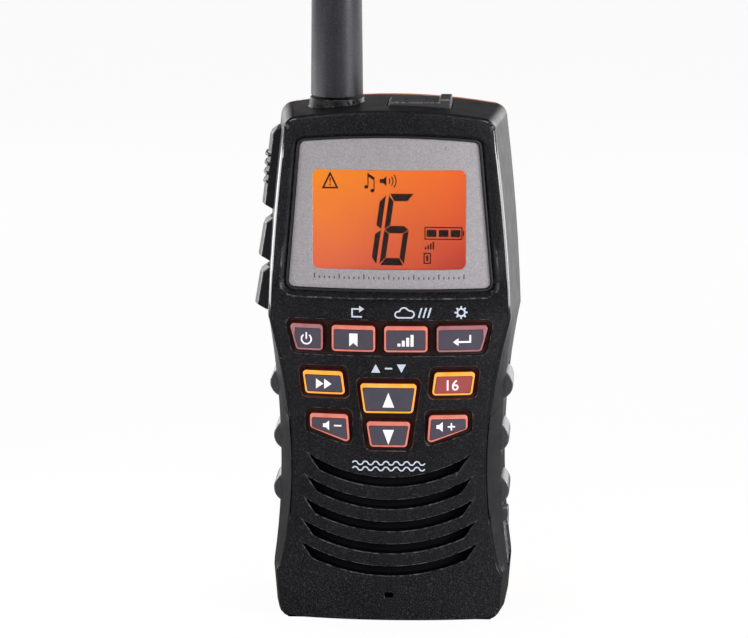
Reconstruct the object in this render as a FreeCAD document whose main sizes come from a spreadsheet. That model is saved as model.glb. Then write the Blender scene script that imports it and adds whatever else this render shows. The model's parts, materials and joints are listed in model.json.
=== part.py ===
"""Handheld floating VHF marine radio, as a parametric FreeCAD document.

Frame, in millimetres: X to the right as seen from the front, the front faces -Y,
Z up, with the origin at the centre of the flat base. The crowned front face is a
cylinder about a vertical axis, and the two case shells meet in a plane of constant Y.
"""
import FreeCAD, Part
import math
import os
import Sketcher
from FreeCAD import Placement, Rotation, Vector

# alias, value in millimetres (angles in degrees), meaning
SIZES = [
    ("body_height", 126.0, "flat base to the middle of the arched top"),
    ("top_drop", 1.9, "fall of the arched top from its middle to its corners"),
    ("corner_radius", 3.2, "top corners of the case"),
    ("base_radius", 2.8, "bottom corners of the case"),
    ("head_bulge", 0.5, "outward bow of the sides of the head"),
    ("shoulder_height", 75.0, "widest level, under the side keys"),
    ("waist_height", 38.0, "narrowest level of the grip"),
    ("flare_height", 12.9, "level where the grip ends above the foot"),
    ("foot_height", 11.2, "top of the upright foot"),
    ("front_top_half", 25.3, "half width of the front face at the top corners"),
    ("front_shoulder_half", 29.2, "half width of the front face at the shoulder"),
    ("front_waist_half", 23.8, "half width of the front face at the waist"),
    ("front_flare_half", 26.6, "half width of the front face at the flare"),
    ("front_foot_half", 27.6, "half width of the front face at the foot"),
    ("scoop_top_half", 26.3, "half width at the inner line of the side scoop, top"),
    ("scoop_shoulder_half", 30.0, "same, shoulder"),
    ("scoop_waist_half", 26.9, "same, waist"),
    ("scoop_flare_half", 28.7, "same, flare"),
    ("scoop_foot_half", 28.8, "same, foot"),
    ("side_top_half", 27.6, "half width at the parting plane, top corners"),
    ("side_shoulder_half", 31.2, "same, shoulder"),
    ("side_waist_half", 27.5, "same, waist"),
    ("side_flare_half", 29.2, "same, flare"),
    ("side_foot_half", 29.3, "same, foot"),
    ("base_taper", 0.7, "how much narrower the foot is at the bottom"),
    ("base_trim", 0.05, "shaved off the rounded bottom to leave one flat base"),
    ("crown_radius", 115.0, "crown of the front face"),
    ("front_depth", 19.5, "origin to the apex of the crown"),
    ("front_edge_depth", 16.8, "origin to the edge of the front face"),
    ("scoop_depth", 8.5, "origin to the inner line of the side scoop"),
    ("parting_depth", 6.0, "origin back to the parting plane"),
    ("rear_step_depth", 12.0, "origin back to where the rear rounding starts"),
    ("rear_depth", 19.0, "origin back to the battery door face"),
    ("head_rear_depth", 14.0, "origin back to the rear face behind the head"),
    ("rear_step_inset", 0.7, "draft of the rear shell before its rounding"),
    ("rear_inset", 3.3, "draft of the rear shell at its rear face"),
    ("slope_low", 67.5, "top of the battery bulge"),
    ("slope_high", 76.0, "bottom of the flat behind the head"),
    ("wall", 2.2, "side, top and rear walls"),
    ("front_wall", 3.0, "wall behind the front face"),
    ("fit_gap", 0.05, "gap between pieces that are seated in each other"),
    ("run_gap", 0.25, "gap around keys and covers that move"),
    ("seat_gap", 0.3, "gap between a key flange and the wall behind which it rests"),
    ("glue_gap", 0.1, "gap under glued or clamped sheets"),
    ("panel_depth", 1.2, "depth of the silver panel below the crown"),
    ("panel_thickness", 0.3, "silver panel"),
    ("lens_thickness", 0.6, "clear lens under the panel"),
    ("panel_top_half", 21.4, "half width of the panel at its top"),
    ("panel_bottom_half", 24.5, "half width of the panel at its bottom"),
    ("panel_drop", 8.0, "top of the case to the top corners of the panel"),
    ("panel_rise", 1.3, "arch of the panel top"),
    ("panel_bottom", 82.5, "bottom edge of the panel"),
    ("panel_corner", 1.4, "corner radius of the panel"),
    ("panel_rim", 0.7, "width of the seal bead round the panel"),
    ("window_half", 18.35, "half width of the display window"),
    ("window_bottom", 87.3, "bottom of the display window"),
    ("window_drop", 14.6, "top of the case to the top of the display window"),
    ("window_corner", 1.6, "corner radius of the display window"),
    ("display_margin", 0.6, "display glass beyond the window"),
    ("glass_gap", 0.24, "gap between the lens and the edges of the display glass"),
    ("glass_thickness", 2.2, "display glass"),
    ("diffuser_thickness", 2.8, "backlight diffuser"),
    ("holder_wall", 0.9, "wall of the display holder"),
    ("board_depth", 9.0, "origin to the front of the main board"),
    ("board_thickness", 1.0, "main board"),
    ("board_drop", 12.8, "top of the case to the top edge of the main board"),
    ("board_bottom", 42.0, "bottom edge of the main board"),
    ("board_top_half", 23.0, "half width of the board at its top"),
    ("board_shoulder_half", 24.3, "half width of the board at the shoulder"),
    ("board_bottom_half", 22.0, "half width of the board at its bottom"),
    ("board_screw_high_x", 22.0, "upper board screws from the middle"),
    ("board_screw_high", 79.8, "upper board screws above the base"),
    ("board_screw_low_x", 19.0, "lower board screws from the middle"),
    ("board_screw_low", 44.6, "lower board screws above the base"),
    ("board_screw_radius", 0.8, "board screw shank"),
    ("board_screw_length", 4.0, "reach of the board screws into their bosses"),
    ("board_boss_radius", 1.8, "bosses under the main board"),
    ("key_proud", 1.0, "keys above the crown"),
    ("key_travel", 0.8, "stroke of the front keys"),
    ("key_corner", 0.9, "corner radius of the front keys"),
    ("key_flange", 0.8, "width and thickness of the flange that retains a key"),
    ("stem_radius", 1.4, "stem under a key"),
    ("dome_radius", 2.5, "metal dome under a stem"),
    ("dome_height", 0.5, "metal dome"),
    ("mat_thickness", 1.0, "silicone mat on the board"),
    ("pocket_depth", 0.8, "pockets in the front face around the keys"),
    ("pocket_margin", 1.1, "pocket beyond the key"),
    ("pocket_corner", 1.5, "corner radius of the key pockets"),
    ("row_top", 73.9, "top of the upper key row"),
    ("row_bottom", 67.5, "bottom of the upper key row"),
    ("row_half", 24.1, "outer ends of the upper key row"),
    ("row_taper", 1.8, "slant of the outer ends of the row"),
    ("row_gap", 2.2, "gap between the keys of the row"),
    ("power_width", 8.2, "power key"),
    ("memory_width", 10.5, "memory key"),
    ("level_width", 10.4, "power level key"),
    ("scan_outer", 20.9, "outer end of the scan and priority keys"),
    ("scan_inner", 11.2, "inner end of the scan and priority keys"),
    ("scan_taper", 0.8, "slant of their outer ends"),
    ("scan_lean", 0.75, "how far their inner bottom corner leans to the middle"),
    ("scan_top", 62.5, "top of the scan and priority keys"),
    ("scan_bottom", 56.8, "bottom of the scan and priority keys"),
    ("up_top", 59.7, "top of the channel up key"),
    ("up_bottom", 52.4, "bottom of the channel up key"),
    ("up_half", 6.9, "half width of the channel up key at its top"),
    ("down_top", 50.3, "top of the channel down key"),
    ("down_bottom", 44.0, "bottom of the channel down key"),
    ("down_half", 5.4, "half width of the channel down key at its top"),
    ("channel_taper", 1.0, "slant of the channel keys"),
    ("volume_outer", 19.1, "outer end of the volume keys"),
    ("volume_inner", 9.9, "inner end of the volume keys"),
    ("volume_top", 51.9, "top of the volume keys"),
    ("volume_bottom", 44.8, "bottom of the volume keys at their inner end"),
    ("volume_rise", 3.6, "how much higher their outer bottom corner is"),
    ("slot_count", 5, "speaker slots"),
    ("slot_pitch", 5.58, "speaker slots, centre to centre"),
    ("slot_height", 2.3, "height of a slot in its middle"),
    ("slot_first", 36.1, "upper edge of the first slot at its middle"),
    ("slot_rise", 5.4, "tips of a slot above its middle"),
    ("slot_half", 19.6, "half width of the first slot"),
    ("slot_widening", 0.47, "how much wider each next slot is on each side"),
    ("slot_end", 2.6, "length of the slanted slot ends along X"),
    ("slot_end_drop", 3.8, "length of the slanted slot ends along Z"),
    ("mic_height", 6.6, "microphone hole above the base"),
    ("mic_hole_width", 2.1, "microphone hole"),
    ("mic_hole_height", 1.3, "microphone hole"),
    ("mic_radius", 3.0, "microphone capsule"),
    ("mic_length", 2.4, "microphone capsule"),
    ("boot_wall", 0.7, "rubber boot of the microphone"),
    ("speaker_height", 27.0, "speaker axis above the base"),
    ("speaker_radius", 16.0, "speaker frame"),
    ("speaker_depth", 14.2, "origin to the front of the speaker frame"),
    ("speaker_frame_length", 4.4, "speaker frame, front to back"),
    ("magnet_radius", 8.5, "speaker magnet"),
    ("magnet_length", 3.6, "speaker magnet"),
    ("sheet_thickness", 0.3, "waterproof membrane, shield and contact sheets"),
    ("side_key_depth", 4.0, "origin forward to the middle of the side keys"),
    ("side_key_half", 3.4, "half width of the side keys along Y"),
    ("side_key_proud", 2.6, "side keys above the wall"),
    ("side_key_travel", 0.9, "stroke of the side keys"),
    ("side_key_chamfer", 1.3, "slanted ends of the side keys"),
    ("side_key_lean", 0.5, "how much more the bottom of a side key stands out"),
    ("talk_drop", 6.4, "top of the case to the top of the talk key"),
    ("talk_length", 20.0, "talk key along Z"),
    ("talk_space", 2.0, "talk key to the upper side key"),
    ("upper_key_length", 10.7, "upper side key along Z"),
    ("side_key_space", 1.4, "upper to lower side key"),
    ("lower_key_length", 10.6, "lower side key along Z"),
    ("side_flange", 0.5, "flange that retains a side key"),
    ("talk_rib", 0.4, "height of the ribs on the talk key"),
    ("switch_size", 3.6, "side tact switches"),
    ("switch_board_thickness", 0.8, "side board that carries the tact switches"),
    ("switch_board_margin", 1.1, "side board above the bottom of the lower side key"),
    ("rib_length", 7.4, "grip inserts along Z"),
    ("rib_pitch", 13.3, "grip inserts, centre to centre"),
    ("rib_first", 56.6, "middle of the top grip insert"),
    ("rib_proud", 1.2, "grip inserts above the wall"),
    ("rib_inset", 0.8, "grip inserts below the wall surface"),
    ("rib_front", 6.5, "origin forward to the front end of the grip inserts"),
    ("antenna_x", -13.3, "antenna axis"),
    ("antenna_y", -3.7, "antenna axis"),
    ("antenna_base_radius", 6.3, "antenna sheath at its base"),
    ("antenna_tip_radius", 5.0, "antenna sheath at its tip"),
    ("antenna_length", 142.0, "antenna sheath"),
    ("antenna_gap", 0.5, "gap between the sheath and its collar"),
    ("collar_base_radius", 7.2, "collar on the case at its foot"),
    ("collar_top_radius", 6.5, "collar on the case at its top"),
    ("collar_rise", 1.0, "top of the collar above the top of the case"),
    ("collar_sink", 4.0, "top of the case to the foot of the collar inside the wall"),
    ("bushing_radius", 4.2, "brass bushing in the collar"),
    ("bushing_length", 11.0, "brass bushing"),
    ("stud_radius", 3.0, "antenna stud"),
    ("stud_length", 20.0, "antenna stud"),
    ("radiator_radius", 2.2, "wound radiator inside the sheath"),
    ("jack_cover_left", -0.7, "hinged end of the top jack cover"),
    ("jack_cover_right", 11.7, "end of the cover before its pull tab"),
    ("jack_tab_right", 14.5, "end of the pull tab"),
    ("jack_cover_front", 10.3, "origin forward to the front of the jack cover"),
    ("jack_cover_rear", 1.8, "origin forward to the rear of the jack cover"),
    ("jack_cover_sink", 1.4, "top of the case to the underside of the jack cover"),
    ("jack_cover_rise", 0.8, "top of the jack cover above the top of the case"),
    ("jack_tab_rise", 0.7, "pull tab above the jack cover"),
    ("jack_depth", 5.2, "origin forward to the jack axes"),
    ("small_jack_x", 3.2, "axis of the 2.5 mm jack"),
    ("jack_spacing", 6.4, "2.5 mm jack to 3.5 mm jack"),
    ("small_jack_bore", 1.3, "bore radius of the 2.5 mm jack"),
    ("large_jack_bore", 1.8, "bore radius of the 3.5 mm jack"),
    ("jack_radius", 2.5, "jack barrels"),
    ("jack_length", 16.0, "jack barrels"),
    ("jack_floor", 1.0, "closed end of the jack barrels"),
    ("charge_height", 16.8, "axis of the charging jack above the base"),
    ("charge_depth", 4.0, "origin forward to the charging jack axis"),
    ("charge_bore", 1.9, "bore radius of the charging jack"),
    ("charge_pin", 0.65, "centre pin of the charging jack"),
    ("charge_radius", 3.4, "charging jack barrel"),
    ("charge_length", 9.0, "charging jack barrel"),
    ("charge_cover_half", 5.3, "half height of the charging jack cover"),
    ("charge_cover_width", 3.9, "half width of the charging jack cover along Y"),
    ("charge_cover_thickness", 1.3, "charging jack cover"),
    ("charge_tab_height", 3.5, "pull tab above the charging jack cover"),
    ("charge_tab_proud", 1.0, "pull tab beyond the cover"),
    ("case_screw_x", 20.0, "case screws from the middle"),
    ("case_screw_drop", 8.7, "top of the case to the upper case screws"),
    ("case_screw_bottom", 6.6, "lower case screws above the base"),
    ("boss_radius", 2.1, "screw bosses"),
    ("rear_boss_radius", 3.0, "screw bosses of the rear shell"),
    ("screw_radius", 1.0, "case screw shank"),
    ("screw_head_radius", 1.9, "case screw head"),
    ("screw_head_height", 1.6, "case screw head"),
    ("screw_seat", 9.0, "origin back to the seat of the case screw heads"),
    ("screw_reach", 9.0, "case screw shank in front of the origin"),
    ("gasket_width", 1.1, "case gasket"),
    ("gasket_height", 1.0, "case gasket"),
    ("cell_radius", 5.2, "AAA cell"),
    ("cell_length", 44.0, "AAA cell"),
    ("cell_pitch", 10.8, "AAA cells, centre to centre"),
    ("cell_count", 4, "AAA cells"),
    ("tray_wall", 1.2, "battery tray"),
    ("tray_bottom", 11.4, "underside of the battery tray"),
    ("tray_rear", 16.6, "origin back to the rim of the tray"),
    ("contact_room", 2.0, "room for contacts at each end of the cells"),
    ("door_half", 23.0, "half width of the battery door"),
    ("door_bottom", 9.3, "bottom of the battery door"),
    ("door_top", 64.4, "top of the battery door"),
    ("door_thickness", 1.6, "battery door"),
    ("door_corner", 3.0, "corner radius of the battery door"),
    ("door_seal_thickness", 0.7, "door seal"),
    ("barrel_radius", 1.1, "hinge barrel of the battery door"),
    ("barrel_half", 19.0, "half length of the hinge barrel"),
    ("barrel_height", 10.3, "hinge pin above the base"),
    ("door_pin_radius", 0.6, "hinge pin of the battery door"),
    ("door_pin_half", 20.6, "half length of that pin"),
    ("latch_half", 5.8, "half width of the door latch"),
    ("latch_top", 63.0, "top of the latch plate, released"),
    ("latch_bottom", 57.8, "bottom of the door latch"),
    ("latch_tongue_low", 62.0, "bottom of the latch tongue, released"),
    ("latch_tongue", 2.3, "height of the latch tongue"),
    ("latch_travel", 1.6, "stroke of the door latch"),
    ("latch_grip", 0.7, "height of the latch grip"),
    ("clip_half", 9.0, "half width of the belt clip"),
    ("clip_gap", 5.0, "clear gap behind the head, under the clip"),
    ("clip_thickness", 1.8, "belt clip arm"),
    ("clip_bottom", 78.0, "free end of the belt clip"),
    ("clip_lever", 8.0, "clip pin to the thumb end of the belt clip"),
    ("clip_lip", 2.6, "lip at the free end of the clip"),
    ("clip_pivot_drop", 18.0, "top of the case to the clip pin"),
    ("clip_barrel_radius", 2.0, "clip knuckles"),
    ("clip_pin_radius", 1.1, "clip pin"),
    ("clip_barrel_length", 4.0, "each clip knuckle"),
    ("bracket_thickness", 1.6, "clip bracket plate and ears"),
    ("bracket_below", 12.0, "clip pin to the bottom of the clip bracket"),
    ("bracket_above", 4.0, "clip pin to the top of the clip bracket"),
    ("bracket_screw_x", 5.5, "clip bracket screws from the middle"),
    ("bracket_screw_below", 9.0, "clip pin to the clip bracket screws"),
    ("float_front", 2.6, "origin back to the front of the foam float"),
    ("float_rear", 11.6, "origin back to the rear of the foam float"),
    ("float_bottom", 66.0, "bottom of the foam float"),
    ("float_drop", 15.0, "top of the case to the top of the foam float"),
    ("float_half", 22.0, "half width of the foam float"),
    ("shield_half", 16.0, "half width of the radio shield can"),
    ("shield_bottom", 64.0, "bottom of the shield can"),
    ("shield_drop", 20.0, "top of the case to the top of the shield can"),
    ("shield_height", 4.0, "depth of the shield can"),
]

doc = FreeCAD.newDocument("MarineRadio")
sheet = doc.addObject("Spreadsheet::Sheet", "Sizes")
pieces = []


class Size:
    """A number that also carries the spreadsheet formula it came from."""

    def __init__(self, number, formula):
        self.number = float(number)
        self.formula = formula

    def __add__(self, other):
        other = as_size(other)
        return Size(self.number + other.number, f"({self.formula} + {other.formula})")

    def __sub__(self, other):
        other = as_size(other)
        return Size(self.number - other.number, f"({self.formula} - {other.formula})")

    def __mul__(self, other):
        other = as_size(other)
        return Size(self.number * other.number, f"({self.formula} * {other.formula})")

    def __truediv__(self, other):
        other = as_size(other)
        return Size(self.number / other.number, f"({self.formula} / {other.formula})")

    def __radd__(self, other):
        return as_size(other) + self

    def __rsub__(self, other):
        return as_size(other) - self

    def __rmul__(self, other):
        return as_size(other) * self

    def __neg__(self):
        return Size(-self.number, f"(-1 * {self.formula})")


def as_size(value):
    """Let a plain number take part in the arithmetic of sizes."""
    if isinstance(value, Size):
        return value
    return Size(value, repr(float(value)))


def fill_sheet():
    """Write the driving dimensions and return them as sizes, by alias."""
    sizes = {}
    for row, (alias, value, meaning) in enumerate(SIZES, start=1):
        sheet.set(f"A{row}", alias)
        sheet.set(f"B{row}", str(value))
        sheet.setAlias(f"B{row}", alias)
        sheet.set(f"C{row}", meaning)
        sizes[alias] = Size(value, f"Sizes.{alias}")
    doc.recompute()
    return sizes


class Named:
    """The sizes as attributes: z.wall is the cell with the alias wall."""

    def __init__(self, sizes):
        self.__dict__.update(sizes)


z = Named(fill_sheet())

# levels that are measured from the top of the case, down the side keys, and from the clip pin
z.panel_top = z.body_height - z.panel_drop
z.window_top = z.body_height - z.window_drop
z.board_top = z.body_height - z.board_drop
z.talk_top = z.body_height - z.talk_drop
z.talk_bottom = z.talk_top - z.talk_length
z.upper_key_top = z.talk_bottom - z.talk_space
z.upper_key_bottom = z.upper_key_top - z.upper_key_length
z.lower_key_top = z.upper_key_bottom - z.side_key_space
z.lower_key_bottom = z.lower_key_top - z.lower_key_length
z.collar_top = z.body_height + z.collar_rise
z.collar_bottom = z.body_height - z.collar_sink
z.jack_cover_top = z.body_height + z.jack_cover_rise
z.jack_cover_bottom = z.body_height - z.jack_cover_sink
z.case_screw_top = z.body_height - z.case_screw_drop
z.float_top = z.body_height - z.float_drop
z.shield_top = z.body_height - z.shield_drop
z.clip_pivot_height = z.body_height - z.clip_pivot_drop
z.clip_top = z.clip_pivot_height + z.clip_lever
z.bracket_top = z.clip_pivot_height + z.bracket_above
z.bracket_bottom = z.clip_pivot_height - z.bracket_below
z.bracket_screw_height = z.clip_pivot_height - z.bracket_screw_below

TURNS = {
    "xy": Rotation(),
    "xz": Rotation(Vector(1, 0, 0), 90),
    "yz": Rotation(Vector(1, 1, 1), 120),
}
NORMALS = {"xy": Vector(0, 0, 1), "xz": Vector(0, 1, 0), "yz": Vector(1, 0, 0)}
AXIS_TURNS = {
    "x": Rotation(Vector(0, 1, 0), 90),
    "y": Rotation(Vector(1, 0, 0), -90),
    "z": Rotation(),
}


def bind(item, name, size):
    """Tie a property to the formula of a size."""
    item.setExpression(name, as_size(size).formula)


def place(item, x, y, height, turn=None):
    """Put an item at a point, with its coordinates tied to the sheet."""
    values = [as_size(v) for v in (x, y, height)]
    point = Vector(*[v.number for v in values])
    item.Placement = Placement(point, turn or Rotation())
    for letter, value in zip("xyz", values):
        bind(item, f"Placement.Base.{letter}", value)


def box(name, x, y, height):
    """A box from three (low, high) pairs."""
    solid = doc.addObject("Part::Box", name)
    for side, (low, high) in zip(("Length", "Width", "Height"), (x, y, height)):
        bind(solid, side, high - low)
    place(solid, x[0], y[0], height[0])
    return solid


def rod(name, axis, centre, radius, low, high):
    """A cylinder along an axis; centre holds the two other coordinates in order."""
    solid = doc.addObject("Part::Cylinder", name)
    bind(solid, "Radius", radius)
    bind(solid, "Height", high - low)
    spot = {"x": (low, *centre), "y": (centre[0], low, centre[1]), "z": (*centre, low)}
    place(solid, *spot[axis], turn=AXIS_TURNS[axis])
    return solid


def cone(name, centre, radius_low, radius_high, low, high):
    """An upright cone with different radii at its two ends."""
    solid = doc.addObject("Part::Cone", name)
    bind(solid, "Radius1", radius_low)
    bind(solid, "Radius2", radius_high)
    bind(solid, "Height", high - low)
    place(solid, centre[0], centre[1], low)
    return solid


def close_path(sketch, path):
    """Draw a closed path of lines and arcs and tie every vertex to the sheet.

    The path is a list of vertices (a, b), or (via_a, via_b, a, b) where an arc leads
    to the vertex through a point. The first vertex ends the last stretch.
    """
    ends = [tuple(as_size(v) for v in step[-2:]) for step in path]
    vias = [tuple(as_size(v) for v in step[:2]) if len(step) == 4 else None for step in path]
    spots = [Vector(a.number, b.number, 0) for a, b in ends]
    links = []
    for index, via in enumerate(vias):
        start, end = spots[index - 1], spots[index]
        if via is None:
            edge = sketch.addGeometry(Part.LineSegment(start, end), False)
            links.append((edge, 1, 2, None))
            continue
        middle = Vector(via[0].number, via[1].number, 0)
        edge = sketch.addGeometry(Part.Arc(start, middle, end), False)
        first = 1 if (sketch.getPoint(edge, 1) - start).Length < 1e-6 else 2
        links.append((edge, first, 3 - first, via))
    for index, (edge, first, last, via) in enumerate(links):
        before = links[index - 1]
        sketch.addConstraint(Sketcher.Constraint("Coincident", before[0], before[2], edge, first))
        tie_point(sketch, edge, last, ends[index])
        if via is not None:
            point = sketch.addGeometry(Part.Point(Vector(via[0].number, via[1].number, 0)), True)
            tie_point(sketch, point, 1, via)
            sketch.addConstraint(Sketcher.Constraint("PointOnObject", point, 1, edge))


def tie_point(sketch, edge, end, spot):
    """Hold one vertex of a sketch at a pair of sizes."""
    for kind, value in zip(("DistanceX", "DistanceY"), spot):
        index = sketch.addConstraint(Sketcher.Constraint(kind, -1, 1, edge, end, value.number))
        sketch.setExpression(f"Constraints[{index}]", value.formula)


def outline(name, plane, level, path):
    """A sketch on a plane at a level along the plane's normal."""
    sketch = doc.addObject("Sketcher::SketchObject", name)
    level = as_size(level)
    spot = {"xy": (0, 0, level), "xz": (0, level, 0), "yz": (level, 0, 0)}
    place(sketch, *spot[plane], turn=TURNS[plane])
    close_path(sketch, path)
    return sketch


def prism(name, plane, low, high, path):
    """A path pulled along the normal of its plane, from low to high."""
    solid = doc.addObject("Part::Extrusion", name)
    solid.Base = outline(name + "_outline", plane, low, path)
    solid.DirMode = "Custom"
    solid.Dir = NORMALS[plane]
    solid.Solid = True
    bind(solid, "LengthFwd", as_size(high) - low)
    return solid


def origin_plane(body, role):
    """One of the origin planes of a body."""
    return next(item for item in body.Origin.OriginFeatures if item.Role == role)


def rounded(name, low, high, path, radius):
    """A plate facing the front, from Y low to Y high, with its upright corners rounded."""
    body = doc.addObject("PartDesign::Body", name)
    sketch = body.newObject("Sketcher::SketchObject", name + "_outline")
    sketch.AttachmentSupport = [(origin_plane(body, "XZ_Plane"), "")]
    sketch.MapMode = "FlatFace"
    bind(sketch, "AttachmentOffset.Base.z", -as_size(high))
    close_path(sketch, path)
    pad = body.newObject("PartDesign::Pad", name + "_pad")
    pad.Profile = sketch
    bind(pad, "Length", as_size(high) - low)
    doc.recompute()
    corners = []
    for number, edge in enumerate(pad.Shape.Edges, start=1):
        start, end = edge.Vertexes[0].Point, edge.Vertexes[-1].Point
        if abs(abs(end.y - start.y) - (as_size(high) - low).number) < 1e-6:
            corners.append(f"Edge{number}")
    fillet = body.newObject("PartDesign::Fillet", name + "_corners")
    fillet.Base = (pad, corners)
    bind(fillet, "Radius", radius)
    body.Tip = fillet
    return body


def join(name, *items):
    """Fuse items into one solid."""
    solid = doc.addObject("Part::MultiFuse", name)
    solid.Shapes = list(items)
    solid.Refine = True
    return solid


def group(name, *items):
    """Keep separate solids together in one sub-part."""
    solid = doc.addObject("Part::Compound", name)
    solid.Links = list(items)
    return solid


def meet(name, first, second):
    """What two items share."""
    solid = doc.addObject("Part::MultiCommon", name)
    solid.Shapes = [first, second]
    return solid


def cut(name, base, *tools):
    """Take tools away from a base."""
    solid = doc.addObject("Part::Cut", name)
    solid.Base = base
    solid.Tool = tools[0] if len(tools) == 1 else group(name + "_tools", *tools)
    return solid


def mirrored(name, item):
    """The same item on the other side of the middle plane."""
    solid = doc.addObject("Part::Mirroring", name)
    solid.Source = item
    solid.Normal = Vector(1, 0, 0)
    return solid


def tube(name, axis, centre, outer, inner, low, high):
    """A round tube along an axis."""
    return cut(name, rod(name + "_outside", axis, centre, outer, low, high),
               rod(name + "_inside", axis, centre, inner, low - 1, high + 1))


def keep(item, label):
    """Register an item as a sub-part; its label names its file."""
    item.Label = label
    pieces.append(item)
    return item


def crown(name, offset):
    """The upright cylinder of the front face, moved inwards by an offset."""
    return rod(name, "z", (0, z.crown_radius - z.front_depth), z.crown_radius - offset,
               as_size(-20), z.body_height + 20)


def crown_y(x, offset):
    """Y of the crown surface at a distance from the middle, moved inwards by an offset."""
    return offset - z.front_depth + x * x / (2 * z.crown_radius)


# ---- case ---------------------------------------------------------------------------

HALF_TURN_ROOT = math.sqrt(0.5)
FAR = as_size(40)

FRONT_LINE = (z.front_top_half, z.front_shoulder_half, z.front_waist_half,
              z.front_flare_half, z.front_foot_half)
SCOOP_LINE = (z.scoop_top_half, z.scoop_shoulder_half, z.scoop_waist_half,
              z.scoop_flare_half, z.scoop_foot_half)
SIDE_LINE = (z.side_top_half, z.side_shoulder_half, z.side_waist_half,
             z.side_flare_half, z.side_foot_half)


def mirror(spot):
    """The same spot on the left side."""
    return (-as_size(spot[0]), spot[1])


def case_path(line, inset, floor):
    """Outline of the case from five half widths, moved inwards, with its own floor level."""
    top, shoulder, waist, flare, foot = [half - inset for half in line]
    base = foot - z.base_taper
    crest = z.body_height - inset
    edge = crest - z.top_drop
    corner = z.corner_radius
    foot_radius = z.base_radius
    points = [
        (top - corner, edge),
        (top, edge - corner),
        (shoulder, z.shoulder_height),
        (waist, z.waist_height),
        (flare, z.flare_height),
        (foot, z.foot_height),
        (base, floor + foot_radius),
        (base - foot_radius, floor),
    ]
    short = 1 - HALF_TURN_ROOT
    vias = [
        (top - corner * short, edge - corner * short),
        ((top + shoulder) / 2 + z.head_bulge, (edge - corner + z.shoulder_height) / 2),
        (waist + (shoulder - waist) / 4, (z.shoulder_height + z.waist_height) / 2),
        (waist + (flare - waist) / 4, (z.waist_height + z.flare_height) / 2),
        None,
        None,
        (base - foot_radius * short, floor + foot_radius * short),
    ]
    path = [(0, crest) + points[0]]
    for via, point in zip(vias, points[1:]):
        path.append((via or ()) + point)
    path.append(mirror(points[-1]))
    for via, point in zip(reversed(vias), reversed(points[:-1])):
        path.append((mirror(via) if via else ()) + mirror(point))
    return path


def case_loft(name, levels):
    """A ruled solid through case outlines: (depth, line, inset, floor) for each level."""
    solid = doc.addObject("Part::Loft", name)
    solid.Sections = [
        outline(f"{name}_{index}", "xz", depth, case_path(line, inset, floor))
        for index, (depth, line, inset, floor) in enumerate(levels)
    ]
    solid.Solid = True
    solid.Ruled = True
    return solid


def front_levels(inset, floor):
    """The levels of the front shell, outside or inset for its hollow."""
    return [
        (-z.front_depth - 1, FRONT_LINE, inset, floor),
        (-z.front_edge_depth, FRONT_LINE, inset, floor),
        (-z.scoop_depth, SCOOP_LINE, inset, floor),
        (z.parting_depth, SIDE_LINE, inset, floor),
    ]


def flat_base(name, solid):
    """A solid without its sliver below the base."""
    ground = box(name + "_ground", (-FAR, FAR), (-FAR, FAR), (-z.base_trim * 2, as_size(0)))
    return cut(name, solid, ground)


def wall_half(height, share):
    """Half width of the grip at a height, at a share of the way from scoop to parting line."""
    top, shoulder, waist, flare, foot = [
        a + (b - a) * share for a, b in zip(SCOOP_LINE, SIDE_LINE)]
    height = as_size(height)
    if height.number >= z.shoulder_height.number:
        reach = z.body_height - z.top_drop - z.corner_radius - z.shoulder_height
        return shoulder - (shoulder - top) * (height - z.shoulder_height) / reach
    if height.number >= z.waist_height.number:
        run = (height - z.waist_height) / (z.shoulder_height - z.waist_height)
        return waist + (shoulder - waist) * run * run
    run = (z.waist_height - height) / (z.waist_height - z.flare_height)
    return waist + (flare - waist) * run * run


def crowned(name, blank, front, back):
    """The layer of a blank between two offsets of the crown."""
    return cut(name, meet(name + "_front", blank, crown(name + "_outer", front)),
               crown(name + "_inner", back))


def corners(left, right, low, high):
    """A rectangle in the front plane."""
    return [(left, low), (right, low), (right, high), (left, high)]


def grow(path, margin):
    """Four corners (low left, low right, high right, high left) moved outwards."""
    signs = ((-1, -1), (1, -1), (1, 1), (-1, 1))
    return [(a + margin * i, b + margin * k) for (a, b), (i, k) in zip(path, signs)]


def panel_path(margin):
    """Outline of the silver panel, moved outwards by a margin."""
    low, high = z.panel_bottom - margin, z.panel_top + margin
    return [
        (-z.panel_bottom_half - margin, low),
        (z.panel_bottom_half + margin, low),
        (z.panel_top_half + margin, high),
        (0, high + z.panel_rise, -z.panel_top_half - margin, high),
    ]


# ---- keys: place, outline -----------------------------------------------------------

def row_key(left, right, left_taper, right_taper):
    """A key of the upper row."""
    return [(left + left_taper, z.row_bottom), (right - right_taper, z.row_bottom),
            (right, z.row_top), (left, z.row_top)]


def flip(path):
    """A four-cornered path on the other side of the middle plane."""
    low_left, low_right, high_right, high_left = path
    return [mirror(low_right), mirror(low_left), mirror(high_left), mirror(high_right)]


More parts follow.
